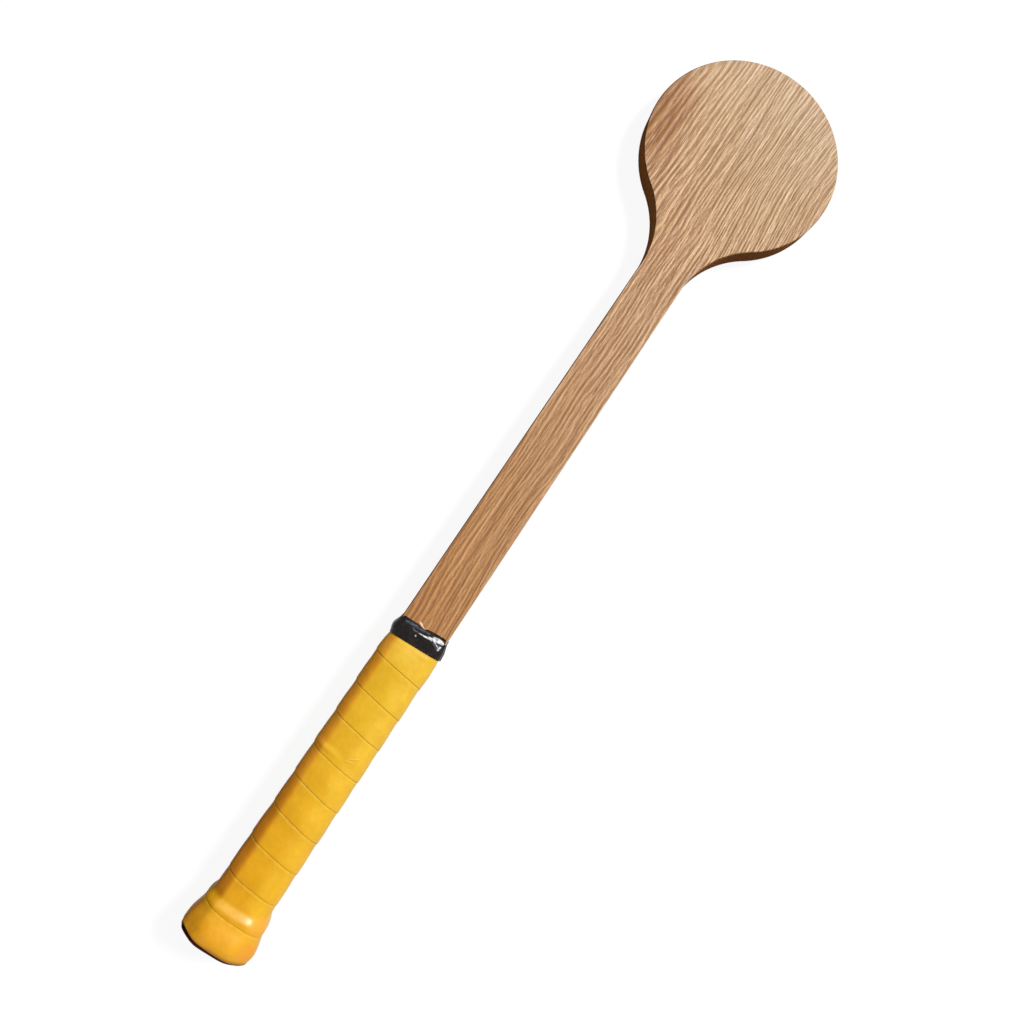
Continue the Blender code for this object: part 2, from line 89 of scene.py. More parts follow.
# Handle under its wraps, and how crisp its corners are: 8 is nearly round, and 80 is sharp
HALF_HANDLE = 12.5 * MM
BEVEL_DISTANCE = (HALF_TANG + HALF_BOARD) / math.sqrt(2)
CRISP_LEFT = 20.0
CRISP_RIGHT = 16.0
SOFT = 16.0
CHEEK_RAMP_FROM = 186.0 * MM
CHEEK_RAMP = 10.5 * MM
BOW = 0.6 * MM
BOW_REACH = 0.5

# Butt end: how far the wrapped flats stand out over the plain handle's
WAIST_RISE = 3.3 * MM
FLARE_RISE = 4.4 * MM
FLARE_AT = 5.5 * MM
BEAD_RISE = 1.85 * MM
BEAD_FROM = 17.2 * MM
BEAD_FADES = 19.8 * MM
BEAD_TO = 25.4 * MM
BEAD_LOWER_IN_FRONT = 0.6 * MM
END_SWELL = 1.1 * MM
END_SWELL_TO = 6 * MM
DIP = 0.6 * MM
DIP_AT = 26 * MM
DIP_REACH = 8 * MM
TOP_SLOPES_FROM = 168 * MM
TOP_SLOPE = 0.5 * MM
TOP_LEANS = 0.5 * MM
BEVEL_SHARE = 0.5
BEVEL_FREE_RISE = 1.6 * MM
SIDE_PRESS = 0.5 * MM

# Cushion under the overgrip
CUSHION_FROM = 1.6 * MM
CUSHION_TO = 182.2 * MM
CUSHION_SEAT = 0.3 * MM
CUSHION_THICKNESS = 0.8 * MM

# Overgrip: one strip. Its seams' places up the middle of the front, and their climb there a turn
STRIP_WIDTH = 25.3 * MM
STRIP_THICKNESS = 0.32 * MM
STRIP_EDGE_ROUND = 0.32 * MM
EDGE_COLUMNS = np.array((0.0, 0.05, 0.12, 0.22, 0.36)) * MM
STRIP_SEAT = 1.65 * MM
STRIP_END_SEAT = 0.3 * MM
STRIP_LAP = 0.34 * MM
STRIP_LAP_FADES = 9 * MM
STRIP_START = -0.81
STRIP_START_WIDTH = 12 * MM
STRIP_TAPER_TURNS = 0.8
STRIP_END = 9.84
FIRST_SKEW = 0.3 * MM
EDGES = np.array((0.65, 17.7, 35.6, 55.1, 74.2, 92.8, 110.9, 131.4, 150.1, 170.0, 189.1, 208.2)) * MM
CLIMBS = np.array((5.3, 3, 8, 14, 20, 20, 14.5, 15.5, 15.5, 13, 14, 14)) * MM
PUCKERED_TURN = 6
PUCKER_RISE = 0.75 * MM
WELT_RISE = 0.06 * MM
GRIP_TO = 184.8 * MM
GRIP_HIDDEN_TO = 186.7 * MM
POINTS_A_TURN = 144

# Finishing tape
TAPE_FROM = 185.1 * MM
TAPE_WIDTH = 11.7 * MM
TAPE_THICKNESS = 0.22 * MM
TAPE_SKEW = 0.6 * MM
TAPE_START = 0.5
TAPE_TURNS = 1.3
TAPE_END_SEAT = 0.12 * MM
TAPE_DROPS_AFTER = 2.0 * MM
TAPE_DROP_LENGTH = 9.6 * MM
TAPE_LATER_AT_SIDES = 1.8 * MM
TAPE_SIDE_SWELL = 0.35 * MM
TORN_REACH = 1.9 * MM

# Fray's two ends, as (x, y), and strokes of painted highlight and sheen, as (x, y, half width), in
# millimetres
FRAY_FROM = (196.0, -0.2)
FRAY_TO = (197.9, 4.9)
HIGHLIGHT_STROKES = (
    ((192.45, 1.4, 0.1), (192.6, -2.4, 0.4), (193.4, -5.1, 0.75), (194.2, -8.4, 1.0), (194.6, -12.3, 0.8)),
    ((195.0, -6.2, 0.15), (195.5, -9.0, 0.4), (195.2, -11.7, 0.5)),
    ((190.6, -11.8, 0.5), (192.4, -12.1, 0.45)),
    ((193.4, -4.9, 0.05), (192.9, -8.0, 0.2), (191.6, -11.0, 0.15)),
    ((190.4, 2.4, 0.35), (190.3, 2.2, 0.35)),
)
SHEEN_STROKES = (
    ((192.7, -5.6, 0.2), (191.9, -8.4, 0.35), (190.8, -11.0, 0.4)),
    ((192.5, -6.7, 0.2), (192.7, -10.6, 0.35)),
    ((194.2, 10.7, 0.35), (194.7, 6.4, 0.5), (194.5, 1.4, 0.5), (195.1, -3.0, 0.5)),
    ((193.7, 6.9, 0.3), (192.4, 4.2, 0.4), (192.4, 0.9, 0.3)),
)


def smooth(share):
    """0 below 0, 1 above 1, and an even S between them."""
    share = np.clip(share, 0.0, 1.0)
    return share * share * (3.0 - 2.0 * share)


def hump(distance, reach):
    """A bell: 1 at no distance, falling to about a third at one reach."""
    return np.exp(-((distance / reach) ** 2))


# Meshes


def outward(points, quads):
    """The same faces, turned over if the closed shape that they make has a negative volume."""
    a, b, c, d = (points[quads[:, k]] for k in range(4))
    volume = np.einsum("ij,ij->", a, np.cross(b, c)) + np.einsum("ij,ij->", a, np.cross(c, d))
    return quads if volume > 0 else quads[:, ::-1]


def grid_quads(rows, columns):
    """Quads of a grid whose rows are closed loops: each point with its neighbours both ways."""
    row, column = np.meshgrid(np.arange(rows - 1), np.arange(columns), indexing="ij")
    here = row * columns + column
    beside = row * columns + (column + 1) % columns
    return np.stack((here, beside, beside + columns, here + columns), axis=-1).reshape(-1, 4)


def make_piece(name, points, quads, material, node, caps=()):
    """A closed mesh as one riding piece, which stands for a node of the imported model."""
    mesh = bpy.data.meshes.new(name)
    faces = outward(points, quads).tolist() + [list(cap) for cap in caps]
    mesh.from_pydata(points.tolist(), [], faces)
    mesh.shade_smooth()
    mesh.materials.append(material)
    piece = bpy.data.objects.new(name, mesh)
    bpy.context.scene.collection.objects.link(piece)
    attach(piece, "root")
    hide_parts(node)
    return piece


def give_values(piece, name, values):
    """Keeps one number for each point of a piece, for its material to read."""
    attribute = piece.data.attributes.new(name, "FLOAT", "POINT")
    attribute.data.foreach_set("value", np.ascontiguousarray(values, dtype=np.float32).ravel())


# Oak board


def board_outline():
    """Loop round the board's plan, from the tang's left corner round the head to its right one.

    The neck's edge is a straight line with a slight taper. It ends on a shoulder arc that meets
    the line and the head's circle without a kink. The right half mirrors the left.
    """
    run = HEAD_CENTRE - HEAD_RADIUS - SHOULDER_RADIUS / 2 - NECK_FROM
    tilt = math.atan((HALF_NECK_AT_HEAD - HALF_TANG) / run)
    across = np.array((-math.sin(tilt), math.cos(tilt)))
    along = np.array((math.cos(tilt), math.sin(tilt)))
    head = np.array((HEAD_CENTRE, 0.0))
    start = np.array((NECK_FROM, HALF_TANG)) + across * SHOULDER_RADIUS - head
    behind = -(start @ along)
    travel = behind - math.sqrt(behind**2 - start @ start + (HEAD_RADIUS + SHOULDER_RADIUS) ** 2)
    centre = start + along * travel
    meets = math.atan2(centre[1], centre[0])
    turn = np.linspace(math.atan2(-across[1], -across[0]), meets - math.pi, 48)
    shoulder = head + centre + SHOULDER_RADIUS * np.stack((np.cos(turn), np.sin(turn)), axis=1)
    sweep = np.linspace(meets, 0.0, 180)[1:]
    rim = head + HEAD_RADIUS * np.stack((np.cos(sweep), np.sin(sweep)), axis=1)
    tang = np.stack((np.linspace(TANG_FROM, NECK_FROM, 30), np.full(30, HALF_TANG)), axis=1)
    left = np.concatenate((tang, shoulder, rim))
    return np.concatenate((left, left[-2::-1] * (1, -1))), len(left)


def make_board(material):
    """The board: its plan carried round a profile of flat face, quarter round, side and back.

    Each ring is the plan moved inwards along its own normal by the profile's inset, at the
    profile's height. The two faces are closed by quads that run square across the board.
    """
    plan, half_count = board_outline()
    step = np.roll(plan, -1, axis=0) - np.roll(plan, 1, axis=0)
    inward = np.stack((step[:, 1], -step[:, 0]), axis=1)
    inward /= np.linalg.norm(inward, axis=1, keepdims=True)
    quarter = np.linspace(0.0, math.pi / 2, 7)
    inset = ARRIS_ROUND * np.concatenate(((2.2, 1.3), 1 - np.sin(quarter)))
    height = HALF_BOARD - ARRIS_ROUND * np.concatenate(((0.0, 0.0), 1 - np.cos(quarter)))
    inset = np.concatenate((inset, inset[::-1]))
    height = np.concatenate((height, -height[::-1]))
    ring_count, count = len(inset), len(plan)
    flat = plan[None] + inward[None] * inset[:, None, None]
    points = np.concatenate((flat, np.broadcast_to(height[:, None, None], (ring_count, count, 1))), axis=2)
    points = points.reshape(-1, 3)
    left = np.arange(half_count - 1)
    right = count - 1 - left
    back = (ring_count - 1) * count
    front_face = np.stack((right, right - 1, left + 1, left), axis=1)[:-1]
    back_face = front_face[:, ::-1] + back
    tip = half_count - 1
    quads = np.concatenate((grid_quads(ring_count, count), front_face, back_face))
    caps = [(tip + 1, tip, tip - 1), (back + tip - 1, back + tip, back + tip + 1)]
    return make_piece("oak_board", points, quads, material, "blade", caps)


# Handle's skin


def end_swell(x, turn):
    """How much fuller the butt is at its very end, on its left side and most at the left bevel."""
    left = np.maximum(np.sin(math.tau * turn), 0.0) + 0.9 * hump(turn % 1 - 0.125, 0.06)
    return END_SWELL * left * (1 - smooth(x / END_SWELL_TO))


def grip_rise(x, turn):
    """How far the wrapped flats stand out over the plain handle: waist, flare, bead, then none.

    The bead ends lower down in front, with a shallow dip above it. The very end is swollen on its
    left, and the last turn slopes in.
    """
    right = 0.5 - 0.5 * np.sin(math.tau * turn)
    front = np.maximum(np.cos(math.tau * turn), 0.0)
    to_flare = smooth(x / FLARE_AT)
    to_bead = smooth((x - FLARE_AT) / (BEAD_FROM - FLARE_AT))
    fades = BEAD_FADES - BEAD_LOWER_IN_FRONT * front
    gone = BEAD_TO + 1.4 * MM * right - 1.5 * BEAD_LOWER_IN_FRONT * front
    rise = WAIST_RISE + (FLARE_RISE - WAIST_RISE) * to_flare
    rise = rise + (BEAD_RISE - FLARE_RISE) * to_bead
    rise = rise - BEAD_RISE * smooth((x - fades) / (gone - fades))
    rise = rise - DIP * front * hump(x - DIP_AT, DIP_REACH)
    rise = rise + end_swell(x, turn)
    slope = TOP_SLOPE + TOP_LEANS * np.sin(math.tau * turn)
    return rise - slope * smooth((x - TOP_SLOPES_FROM) / (16 * MM))


def front_height(x):
    """Height of the front flat: level on the cheeks, then easing down to the board past them."""
    past = np.clip((x - CHEEK_RAMP_FROM) / CHEEK_RAMP, 0.0, 1.0)
    return HALF_BOARD + (HALF_HANDLE - HALF_BOARD) * (1 - past) ** 2


def crispness(x, turn):
    """How crisp the corners are: soft on the butt and at the tape, crisper on the left between."""
    left = 0.5 + 0.5 * np.sin(math.tau * turn)
    plain = smooth((x - BEAD_FADES) / (10 * MM)) * (1 - smooth((x - 160 * MM) / (24 * MM)))
    return SOFT + (CRISP_RIGHT + (CRISP_LEFT - CRISP_RIGHT) * left - SOFT) * plain


def skin(x, turn, rise, offset):
    """Points on the eight-sided skin round the handle.

    Each of the eight planes has its distance from the axis. The radius at an angle is a power
    mean: each plane gives the cosine of the angle from its own normal over its distance, these
    are raised to a high power and added, and the sum is raised to minus one over that power.
    The front and back flats bow out a little up to the tape.
    """
    angle = math.tau * turn
    power = crispness(x, turn)
    beyond = np.maximum(rise - BEVEL_FREE_RISE, 0.0)
    front = front_height(x) + rise + offset
    corner = BEVEL_DISTANCE + rise - beyond * (1 - BEVEL_SHARE) + offset
    side = HALF_TANG + rise + offset
    total = 0.0
    for number, distance in enumerate((front, corner, side, corner) * 2):
        reach = np.maximum(np.cos(angle - number * math.pi / 4), 0.0) / distance
        total = total + reach**power
    radius = total ** (-1.0 / power)
    bow = BOW * np.clip(1 - (np.sin(angle) / BOW_REACH) ** 2, 0.0, 1.0)
    radius = radius + bow * (1 - smooth((x - GRIP_TO + 6 * MM) / (8 * MM)))
    return np.stack((x + 0 * radius, radius * np.sin(angle), radius * np.cos(angle)), axis=-1)


def strip_columns(middle):
    """Places across a strip, close together at its rounded edges: (share of width, extra length)."""
    near = EDGE_COLUMNS
    far = near[-1] * 2 - near[::-1]
    share = np.concatenate((np.zeros(5), np.linspace(0, 1, middle)[1:-1], np.ones(5)))
    extra = np.concatenate((near, np.full(middle - 2, near[-1]), far))
    return share, extra


def wound_strip(turns, low, high, middle):
    """Grid of a strip's places: turns down the rows, and across it from the lower edge up."""
    share, extra = strip_columns(middle)
    low, high = low[:, None], high[:, None]
    places = low + share * (high - low - 2 * EDGE_COLUMNS[-1]) + extra
    return places, turns[:, None] + 0 * places


def edge_thickness(places, low, high, full):
    """A strip's thickness: full in the middle, and a quarter round down to nothing at its edges."""
    inside = np.minimum(places - low[:, None], high[:, None] - places) / STRIP_EDGE_ROUND
    return full * np.sqrt(np.maximum(1 - (1 - np.clip(inside, 0.0, 1.0)) ** 2, 0.0))


def strip_piece(name, places, turns, rise, outer, inner, material, node):
    """A wound strip as a closed shell: out along its outer face and back along its inner face."""
    back = slice(-2, 0, -3)
    top = skin(places, turns, rise, outer)
    under = skin(places[:, back], turns[:, back], rise[:, back], inner[:, back])
    rows = np.concatenate((top, under), axis=1)
    row_count, loop = rows.shape[:2]
    ends = [list(range(loop)), [(row_count - 1) * loop + k for k in range(loop - 1, -1, -1)]]
    quads = grid_quads(row_count, loop)
    points = rows.reshape(-1, 3)
    turned = outward(points, quads)[0, 0] != quads[0, 0]
    caps = ends if turned else [end[::-1] for end in ends]
    return make_piece(name, points, quads, material, node, caps), loop


def strip_values(piece, name, values, loop):
    """Gives a piece's outer face the values of its grid, and its inner face none."""
    spare = np.zeros((len(values), loop - values.shape[1]))
    give_values(piece, name, np.concatenate((values, spare), axis=1))


# Overgrip


def lower_edge(turn):
    """Place of the strip's lower edge.

    Round the butt it is nearly square, a little lower on the right. Then a cubic in each turn
    joins its places at the middle of the front, and has the climb there that each one asks for.
    """
    turn = np.asarray(turn, float)
    round_butt = EDGES[0] + FIRST_SKEW * np.sin(math.tau * turn)
    number = np.clip(np.floor(turn).astype(int), 0, len(EDGES) - 2)
    share = turn - number
    climbed = (
        (2 * share**3 - 3 * share**2 + 1) * EDGES[number]
        + (share**3 - 2 * share**2 + share) * CLIMBS[number]
        + (3 * share**2 - 2 * share**3) * EDGES[number + 1]
        + (share**3 - share**2) * CLIMBS[number + 1]
    )
    return np.where(turn < 0, round_butt, climbed)


def upper_edge(turn):
    """Place of the strip's upper edge: its start is cut to a taper, and its end is hidden."""
    grown = np.clip((turn - STRIP_START) / STRIP_TAPER_TURNS, 0.0, 1.0)
    width = STRIP_START_WIDTH + (STRIP_WIDTH - STRIP_START_WIDTH) * grown
    return np.minimum(lower_edge(turn) + width, GRIP_HIDDEN_TO)


def grip_seat(x):
    """Distance of the strip's underside from the bare handle: on the cushion, then on the oak."""
    past = smooth((x - CUSHION_TO) / (3.6 * MM))
    return STRIP_SEAT + (STRIP_END_SEAT - STRIP_SEAT) * 0.35 * past


def side_press(x, turn):
    """How far the strip is drawn in on the two sides, where it was pulled tight round the tang."""
    across = np.sin(math.tau * turn)
    beside = smooth((np.abs(across) - 0.7) / 0.25)
    along = smooth((x - 24 * MM) / (10 * MM)) * (1 - smooth((x - 166 * MM) / (12 * MM)))
    low_left = smooth(across / 0.5) * (1 - smooth((x - 56 * MM) / (26 * MM)))
    return SIDE_PRESS * beside * along * (1 - 0.8 * low_left)


def grip_lap(x, turn):
    """How far a turn is lifted by the edge of the turn under it."""
    edge = upper_edge(turn - 1) + 0.2 * MM
    across = 1 - smooth((x - edge) / STRIP_LAP_FADES)
    pressed = 1 - 0.88 * smooth((x - 179 * MM) / (5 * MM))
    return STRIP_LAP * across * pressed * smooth((turn - STRIP_START - 0.92) / 0.07)


def grip_folds(x, y, z, turn):
    """What the hand winding left in the strip: a pucker on the left, and a welt under each seam.

    The pucker is highest at the left bevel, and fades towards the middle and on the side.
    """
    above = x - lower_edge(turn)
    below = lower_edge(turn + 1) - x
    puckered = (np.abs(turn - PUCKERED_TURN) < 0.5) * smooth(z / (4 * MM))
    crest = (3.9 - 0.8 * np.clip((y - 7 * MM) / (6 * MM), 0.0, 1.0)) * MM
    pucker = PUCKER_RISE * smooth((y + 5 * MM) / (15 * MM)) * hump(above - crest, 1.7 * MM)
    welt = WELT_RISE * hump(below - 0.9 * MM, 0.45 * MM)
    beside = smooth((y - 10 * MM) / (5 * MM))
    return puckered * pucker * (1 - 0.75 * beside) + welt


def make_overgrip(material):
    """The yellow overgrip: one strip wound up the handle, each turn over the edge of the last."""
    count = round((STRIP_END - STRIP_START) * POINTS_A_TURN)
    turns = np.linspace(STRIP_START, STRIP_END, count)
    low = lower_edge(turns)
    high = upper_edge(turns)
    kept = high - low > 0.9 * MM
    turns, low, high = turns[kept], low[kept], high[kept]
    places, turn = wound_strip(turns, low, high, 34)
    rise = grip_rise(places, turn)
    under = grip_seat(places) + grip_lap(places, turn) - side_press(places, turn)
    plain = skin(places, turn, rise, under)
    folds = grip_folds(places, plain[..., 1], plain[..., 2], turn)
    thick = edge_thickness(places, low, high, STRIP_THICKNESS)
    outer = under + thick + folds * thick / STRIP_THICKNESS
    piece, loop = strip_piece(
        "overgrip_wrap", places, turn, rise, outer, under, material, "overgrip"
    )
    to_edge = (places - low[:, None]) / MM
    below = (lower_edge(turn + 1) - places) / MM
    # Dirt and painted shade at both sides of each seam
    strip_values(piece, "edge_dirt_and_shade", 1 - smooth((to_edge - 0.2) / 0.35), loop)
    strip_values(piece, "seam_dirt_and_shade", (1 - smooth((below + 0.2) / 0.4)) * (below > -2), loop)
    # Painted highlight just under each seam, where the welt catches the light
    pale = smooth((below - 0.15) / 0.35) * (1 - smooth((below - 0.8) / 0.7))
    strip_values(piece, "seam_highlight", pale, loop)
    return piece


# Finishing tape


def nearest(x, y, start, end):
    """Gap to a line from start to end, each (x, y) in millimetres, and how far along it that is."""
    start, end = np.array(start[:2]) * MM, np.array(end[:2]) * MM
    run = end - start
    share = np.clip(((x - start[0]) * run[0] + (y - start[1]) * run[1]) / (run @ run), 0.0, 1.0)
    return np.hypot(x - start[0] - share * run[0], y - start[1] - share * run[1]), share


def stroked(x, y, strokes, fade=0.4):
    """1 inside strokes that are given by places and half widths, falling to 0 over their edges."""
    total = 0.0 * x
    for stroke in strokes:
        for start, end in zip(stroke, stroke[1:]):
            gap, share = nearest(x, y, start, end)
            half = (start[2] + (end[2] - start[2]) * share) * MM
            total = np.maximum(total, smooth((half - gap) / (fade * MM) + 0.5))
    return total


def tape_creases(x, y, z):
    """Stretch wrinkles on the tape's front, where it is drawn down from the grip to the neck."""
    total = 0.28 * MM * stroked(x, y, HIGHLIGHT_STROKES) + 0.14 * MM * stroked(x, y, SHEEN_STROKES)
    for start, end, depth in (((194.2, 6.0), (193.3, -3.0), 0.12), ((193.4, -12.5), (193.9, -14.2), 0.2)):
        total = total - depth * MM * hump(nearest(x, y, start, end)[0], 0.5 * MM)
    return total * smooth(z / (4 * MM))


def tape_seat(x, turn):
    """Distance of the tape's underside from the bare handle, drawn down past the grip's end.

    At the two sides it is drawn down later and more steeply, and stands a little fuller.
    """
    leans = TOP_LEANS * np.sin(math.tau * turn)
    beside = np.abs(np.sin(math.tau * turn)) ** 3
    later = TAPE_LATER_AT_SIDES * beside
    drawn = smooth((x - TAPE_FROM - TAPE_DROPS_AFTER - later) / (TAPE_DROP_LENGTH - later))
    on_grip = STRIP_SEAT + STRIP_THICKNESS + 0.07 * MM - TOP_SLOPE - leans
    on_grip = on_grip + leans * smooth((x - TAPE_FROM) / (4.0 * MM))
    on_grip = on_grip + TAPE_SIDE_SWELL * beside * smooth((x - TAPE_FROM) / (3.0 * MM))
    return on_grip + (TAPE_END_SEAT - on_grip) * drawn


def make_tape(material):
    """The black tape: wound once and a bit from the back, a little askew, over the grip's end.

    Its upper edge is wavy, dips once, and stands up in front where a piece was torn off. Its own
    values tell the material where to paint highlights and sheen, where it is bared of its black, or
    where it is frayed.
    """
    turns = np.linspace(TAPE_START, TAPE_START + TAPE_TURNS, 340)
    low = TAPE_FROM - TAPE_SKEW * np.sin(math.tau * turns)
    waves = 0.12 * np.sin(11 * turns) + 0.08 * np.sin(31 * turns)
    dip = hump((turns + 0.47) % 1 - 0.5, 0.055)
    high = low + TAPE_WIDTH + (waves - 0.8 * dip) * MM
    plain_high = high
    high = high + TORN_REACH * smooth((turns - 1.0) / 0.07) * (1 - smooth((turns - 1.084) / 0.012))
    places, turn = wound_strip(turns, low, high, 56)
    lap = (TAPE_THICKNESS + 0.03 * MM) * smooth((turn - TAPE_START - 0.94) / 0.05)
    left = hump((turn + 0.5) % 1 - 0.75, 0.1)
    under = tape_seat(places, turn) + lap + 0.3 * MM * left * hump(places - 190.5 * MM, 2.6 * MM)
    plain = skin(places, turn, 0 * places, under)
    creases = tape_creases(places, plain[..., 1], plain[..., 2])
    thick = edge_thickness(places, low, high, TAPE_THICKNESS)
    outer = under + thick + creases * thick / TAPE_THICKNESS
    piece, loop = strip_piece(
        "collar_tape", places, turn, 0 * places, outer, under, material, "finishing_tape"
    )
    in_front = smooth(plain[..., 2] / (4 * MM))
    gap, share = nearest(places, plain[..., 1], FRAY_FROM, FRAY_TO)
    fray = smooth(((0.2 + 0.45 * np.sin(math.pi * share)) * MM - gap) / (0.3 * MM) + 0.5)
    # Where the material paints the tape's highlights and sheen
    strip_values(piece, "painted_highlight", stroked(places, plain[..., 1], HIGHLIGHT_STROKES) * in_front, loop)
    strip_values(piece, "painted_sheen", stroked(places, plain[..., 1], SHEEN_STROKES, 1.0) * in_front, loop)
    strip_values(piece, "bared", smooth((places - plain_high[:, None]) / (0.3 * MM)) * in_front, loop)
    strip_values(piece, "frayed", fray * in_front, loop)
    return piece


# Cushion


def make_cushion(material):
    """The foam under the overgrip: one closed sleeve, out along its outside and back inside."""
    places = np.concatenate((np.linspace(CUSHION_FROM, 30 * MM, 30), (60 * MM, 160 * MM, CUSHION_TO)))
    x = np.concatenate((places, places[::-1]))[:, None]
    offset = np.repeat((CUSHION_SEAT + CUSHION_THICKNESS, CUSHION_SEAT), len(places))[:, None]
    turn = np.arange(POINTS_A_TURN)[None] / POINTS_A_TURN
    rise = grip_rise(x, turn)
    rise = np.where(offset > CUSHION_SEAT, rise, np.maximum(rise, 0.0))
    rows = skin(x + 0 * turn, turn + 0 * x, rise, offset)
    rows = np.concatenate((rows, rows[:1]))
    quads = grid_quads(len(rows), POINTS_A_TURN) % (2 * len(places) * POINTS_A_TURN)
    points = rows[:-1].reshape(-1, 3)
    return make_piece("grip_cushion_sleeve", points, quads, material, "base_grip")


# Butt cap


def make_cap(material):
    """The cap: one closed profile carried round the eight-sided skin.

    The profile runs from the pocket's floor out along its wall, over the sleeve's end, down the
    flare and the waist, round the lip and in over the end panel. Each station is a place along the
    axis, a rise over the bare handle, and a scale that is 0 where the profile meets the axis.
    Like the wraps over it, its outside is swollen on the left at the very end.
    """
    pocket = [(3.5, 0.3, 0.0), (3.5, 0.3, 0.5), (3.5, 0.3, 0.97), (3.5, 0.3, 1.0), (3.7, 0.3, 1.0)]
    mouth = [(20.7, 0.3, 1.0), (20.95, 0.45, 1.0), (21.0, 0.8, 1.0), (20.9, 1.3, 1.0), (20.6, 1.55, 1.0)]
    body_x = np.linspace(15.5, 0.8, 20)
    body_rise = 2.3 + 1.75 * smooth(body_x / 5.5) - 2.45 * smooth((body_x - 5.5) / 10.5)
    body = [(x, rise, 1.0) for x, rise in zip(body_x, body_rise)]
    turn = np.linspace(0, math.pi, 9)
    lip = [(-0.4 + 0.4 * math.cos(a), 4.1 + 0.4 * math.sin(a), 1.0) for a in turn]
    groove = [(0.35, 2.35, 1.0), (0.1, 2.5, 1.0)]
    inner = [(-0.8, 2.6, 1.0), (-0.7, 2.2, 1.0), (-0.45, 2.0, 1.0), (-0.1, 1.8, 1.0), (0.0, 1.5, 1.0)]
    ring = [(0.0, 1.5, 0.86), (-0.18, 1.5, 0.845), (-0.18, 1.5, 0.81), (0.0, 1.5, 0.795)]
    panel = [(0.0, 1.5, 0.6), (0.0, 1.5, 0.3), (0.0, 1.5, 0.09), (0.25, 1.5, 0.07), (0.25, 1.5, 0.0)]
    stations = np.array(pocket + mouth + body + groove + lip + inner + ring + panel)
    turns = np.arange(POINTS_A_TURN) / POINTS_A_TURN
    x, rise, scale = (column[:, None] for column in stations.T)
    swell = end_swell(x * MM, turns + 0 * x) * (rise >= 2.0) * (x < END_SWELL_TO / MM)
    rows = skin(x * MM + 0 * turns, turns + 0 * x, rise * MM + swell, 0.0)
    rows[..., 1:] *= scale[..., None]
    middle = rows[1:-1].reshape(-1, 3)
    count = POINTS_A_TURN
    quads = grid_quads(len(rows) - 2, count)
    poles = np.stack((rows[0, 0], rows[-1, 0]))
    points = np.concatenate((middle, poles))
    turned = outward(points, quads)[0, 0] != quads[0, 0]
    caps = []
    for pole, first in ((len(middle), 0), (len(middle) + 1, len(middle) - count)):
        near = first + np.arange(count)
        beyond = first + (np.arange(count) + 1) % count
        towards_start = (first == 0) != turned
        pair = (beyond, near) if towards_start else (near, beyond)
        caps.extend(zip(pair[0].tolist(), pair[1].tolist(), [pole] * count))
    return make_piece("end_cap", points, quads, material, "butt_cap", caps)


# Materials


class Recipe:
    """Short ways to put nodes into a material or a group and to join them."""

    def __init__(self, tree):
        self.tree = tree

    def node(self, kind, inputs=(), **settings):
        made = self.tree.nodes.new(kind)
        for name, value in settings.items():
            setattr(made, name, value)
        for key, value in dict(inputs).items():
            self.feed(made.inputs[key], value)
        return made

    def feed(self, socket, value):
        if isinstance(value, bpy.types.NodeSocket):
            self.tree.links.new(value, socket)
        else:
            socket.default_value = value

    def use(self, group, inputs=()):
        return self.node("ShaderNodeGroup", inputs, node_tree=group).outputs

    def coordinates(self, kind="Object"):
        return self.node("ShaderNodeTexCoord").outputs[kind]

    def own_value(self, name):
        return self.node("ShaderNodeAttribute", attribute_name=name).outputs["Fac"]

    def math(self, operation, first, second=0.0):
        return self.node("ShaderNodeMath", {0: first, 1: second}, operation=operation).outputs[0]

    def times(self, first, second):
        return self.math("MULTIPLY", first, second)

    def plus(self, first, second):
        return self.math("ADD", first, second)

    def minus(self, first, second):
        return self.math("SUBTRACT", first, second)

    def remap(self, value, low, high, to_low=0.0, to_high=1.0):
        inputs = {"Value": value, "From Min": low, "From Max": high, "To Min": to_low, "To Max": to_high}
        return self.node("ShaderNodeMapRange", inputs, interpolation_type="SMOOTHSTEP").outputs[0]

    def vector(self, operation, first, second=(0.0, 0.0, 0.0), output="Vector"):
        inputs = {0: first, 1: second}
        return self.node("ShaderNodeVectorMath", inputs, operation=operation).outputs[output]

    def apart(self, vector):
        return self.node("ShaderNodeSeparateXYZ", {0: vector}).outputs

    def stretched(self, vector, scale):
        return self.vector("MULTIPLY", vector, scale)

    def far_from(self, place, centre, scale):
        """Distance from a centre, in which each axis is first multiplied by its scale."""
        offset = self.vector("SUBTRACT", place, centre)
        return self.vector("LENGTH", self.stretched(offset, scale), output="Value")

    def spot(self, place, centre, scale, near, gone, strength):
        """The strength up to a near distance from a centre, and none from where it is gone."""
        return self.remap(self.far_from(place, centre, scale), near, gone, strength, 0.0)

    def noise(self, vector, scale=1.0, detail=2.0, rough=0.5):
        inputs = {"Vector": vector, "Scale": scale, "Detail": detail, "Roughness": rough}
        return self.node("ShaderNodeTexNoise", inputs).outputs[0]

    def mix(self, share, first, second, blend="MIX"):
        made = self.node("ShaderNodeMix", data_type="RGBA", blend_type=blend)
        for key, value in ((0, share), (6, first), (7, second)):
            self.feed(made.inputs[key], value)
        return made.outputs[2]

    def tinted(self, colour, share, low, high):
        """A colour times a tint that goes from low to high with the share."""
        return self.mix(1.0, colour, self.mix(share, low, high), "MULTIPLY")

    def bump(self, height, distance, strength=1.0):
        inputs = {"Height": height, "Distance": distance, "Strength": strength}
        return self.node("ShaderNodeBump", inputs).outputs[0]


def rgb(red, green, blue):
    return (red, green, blue, 1.0)


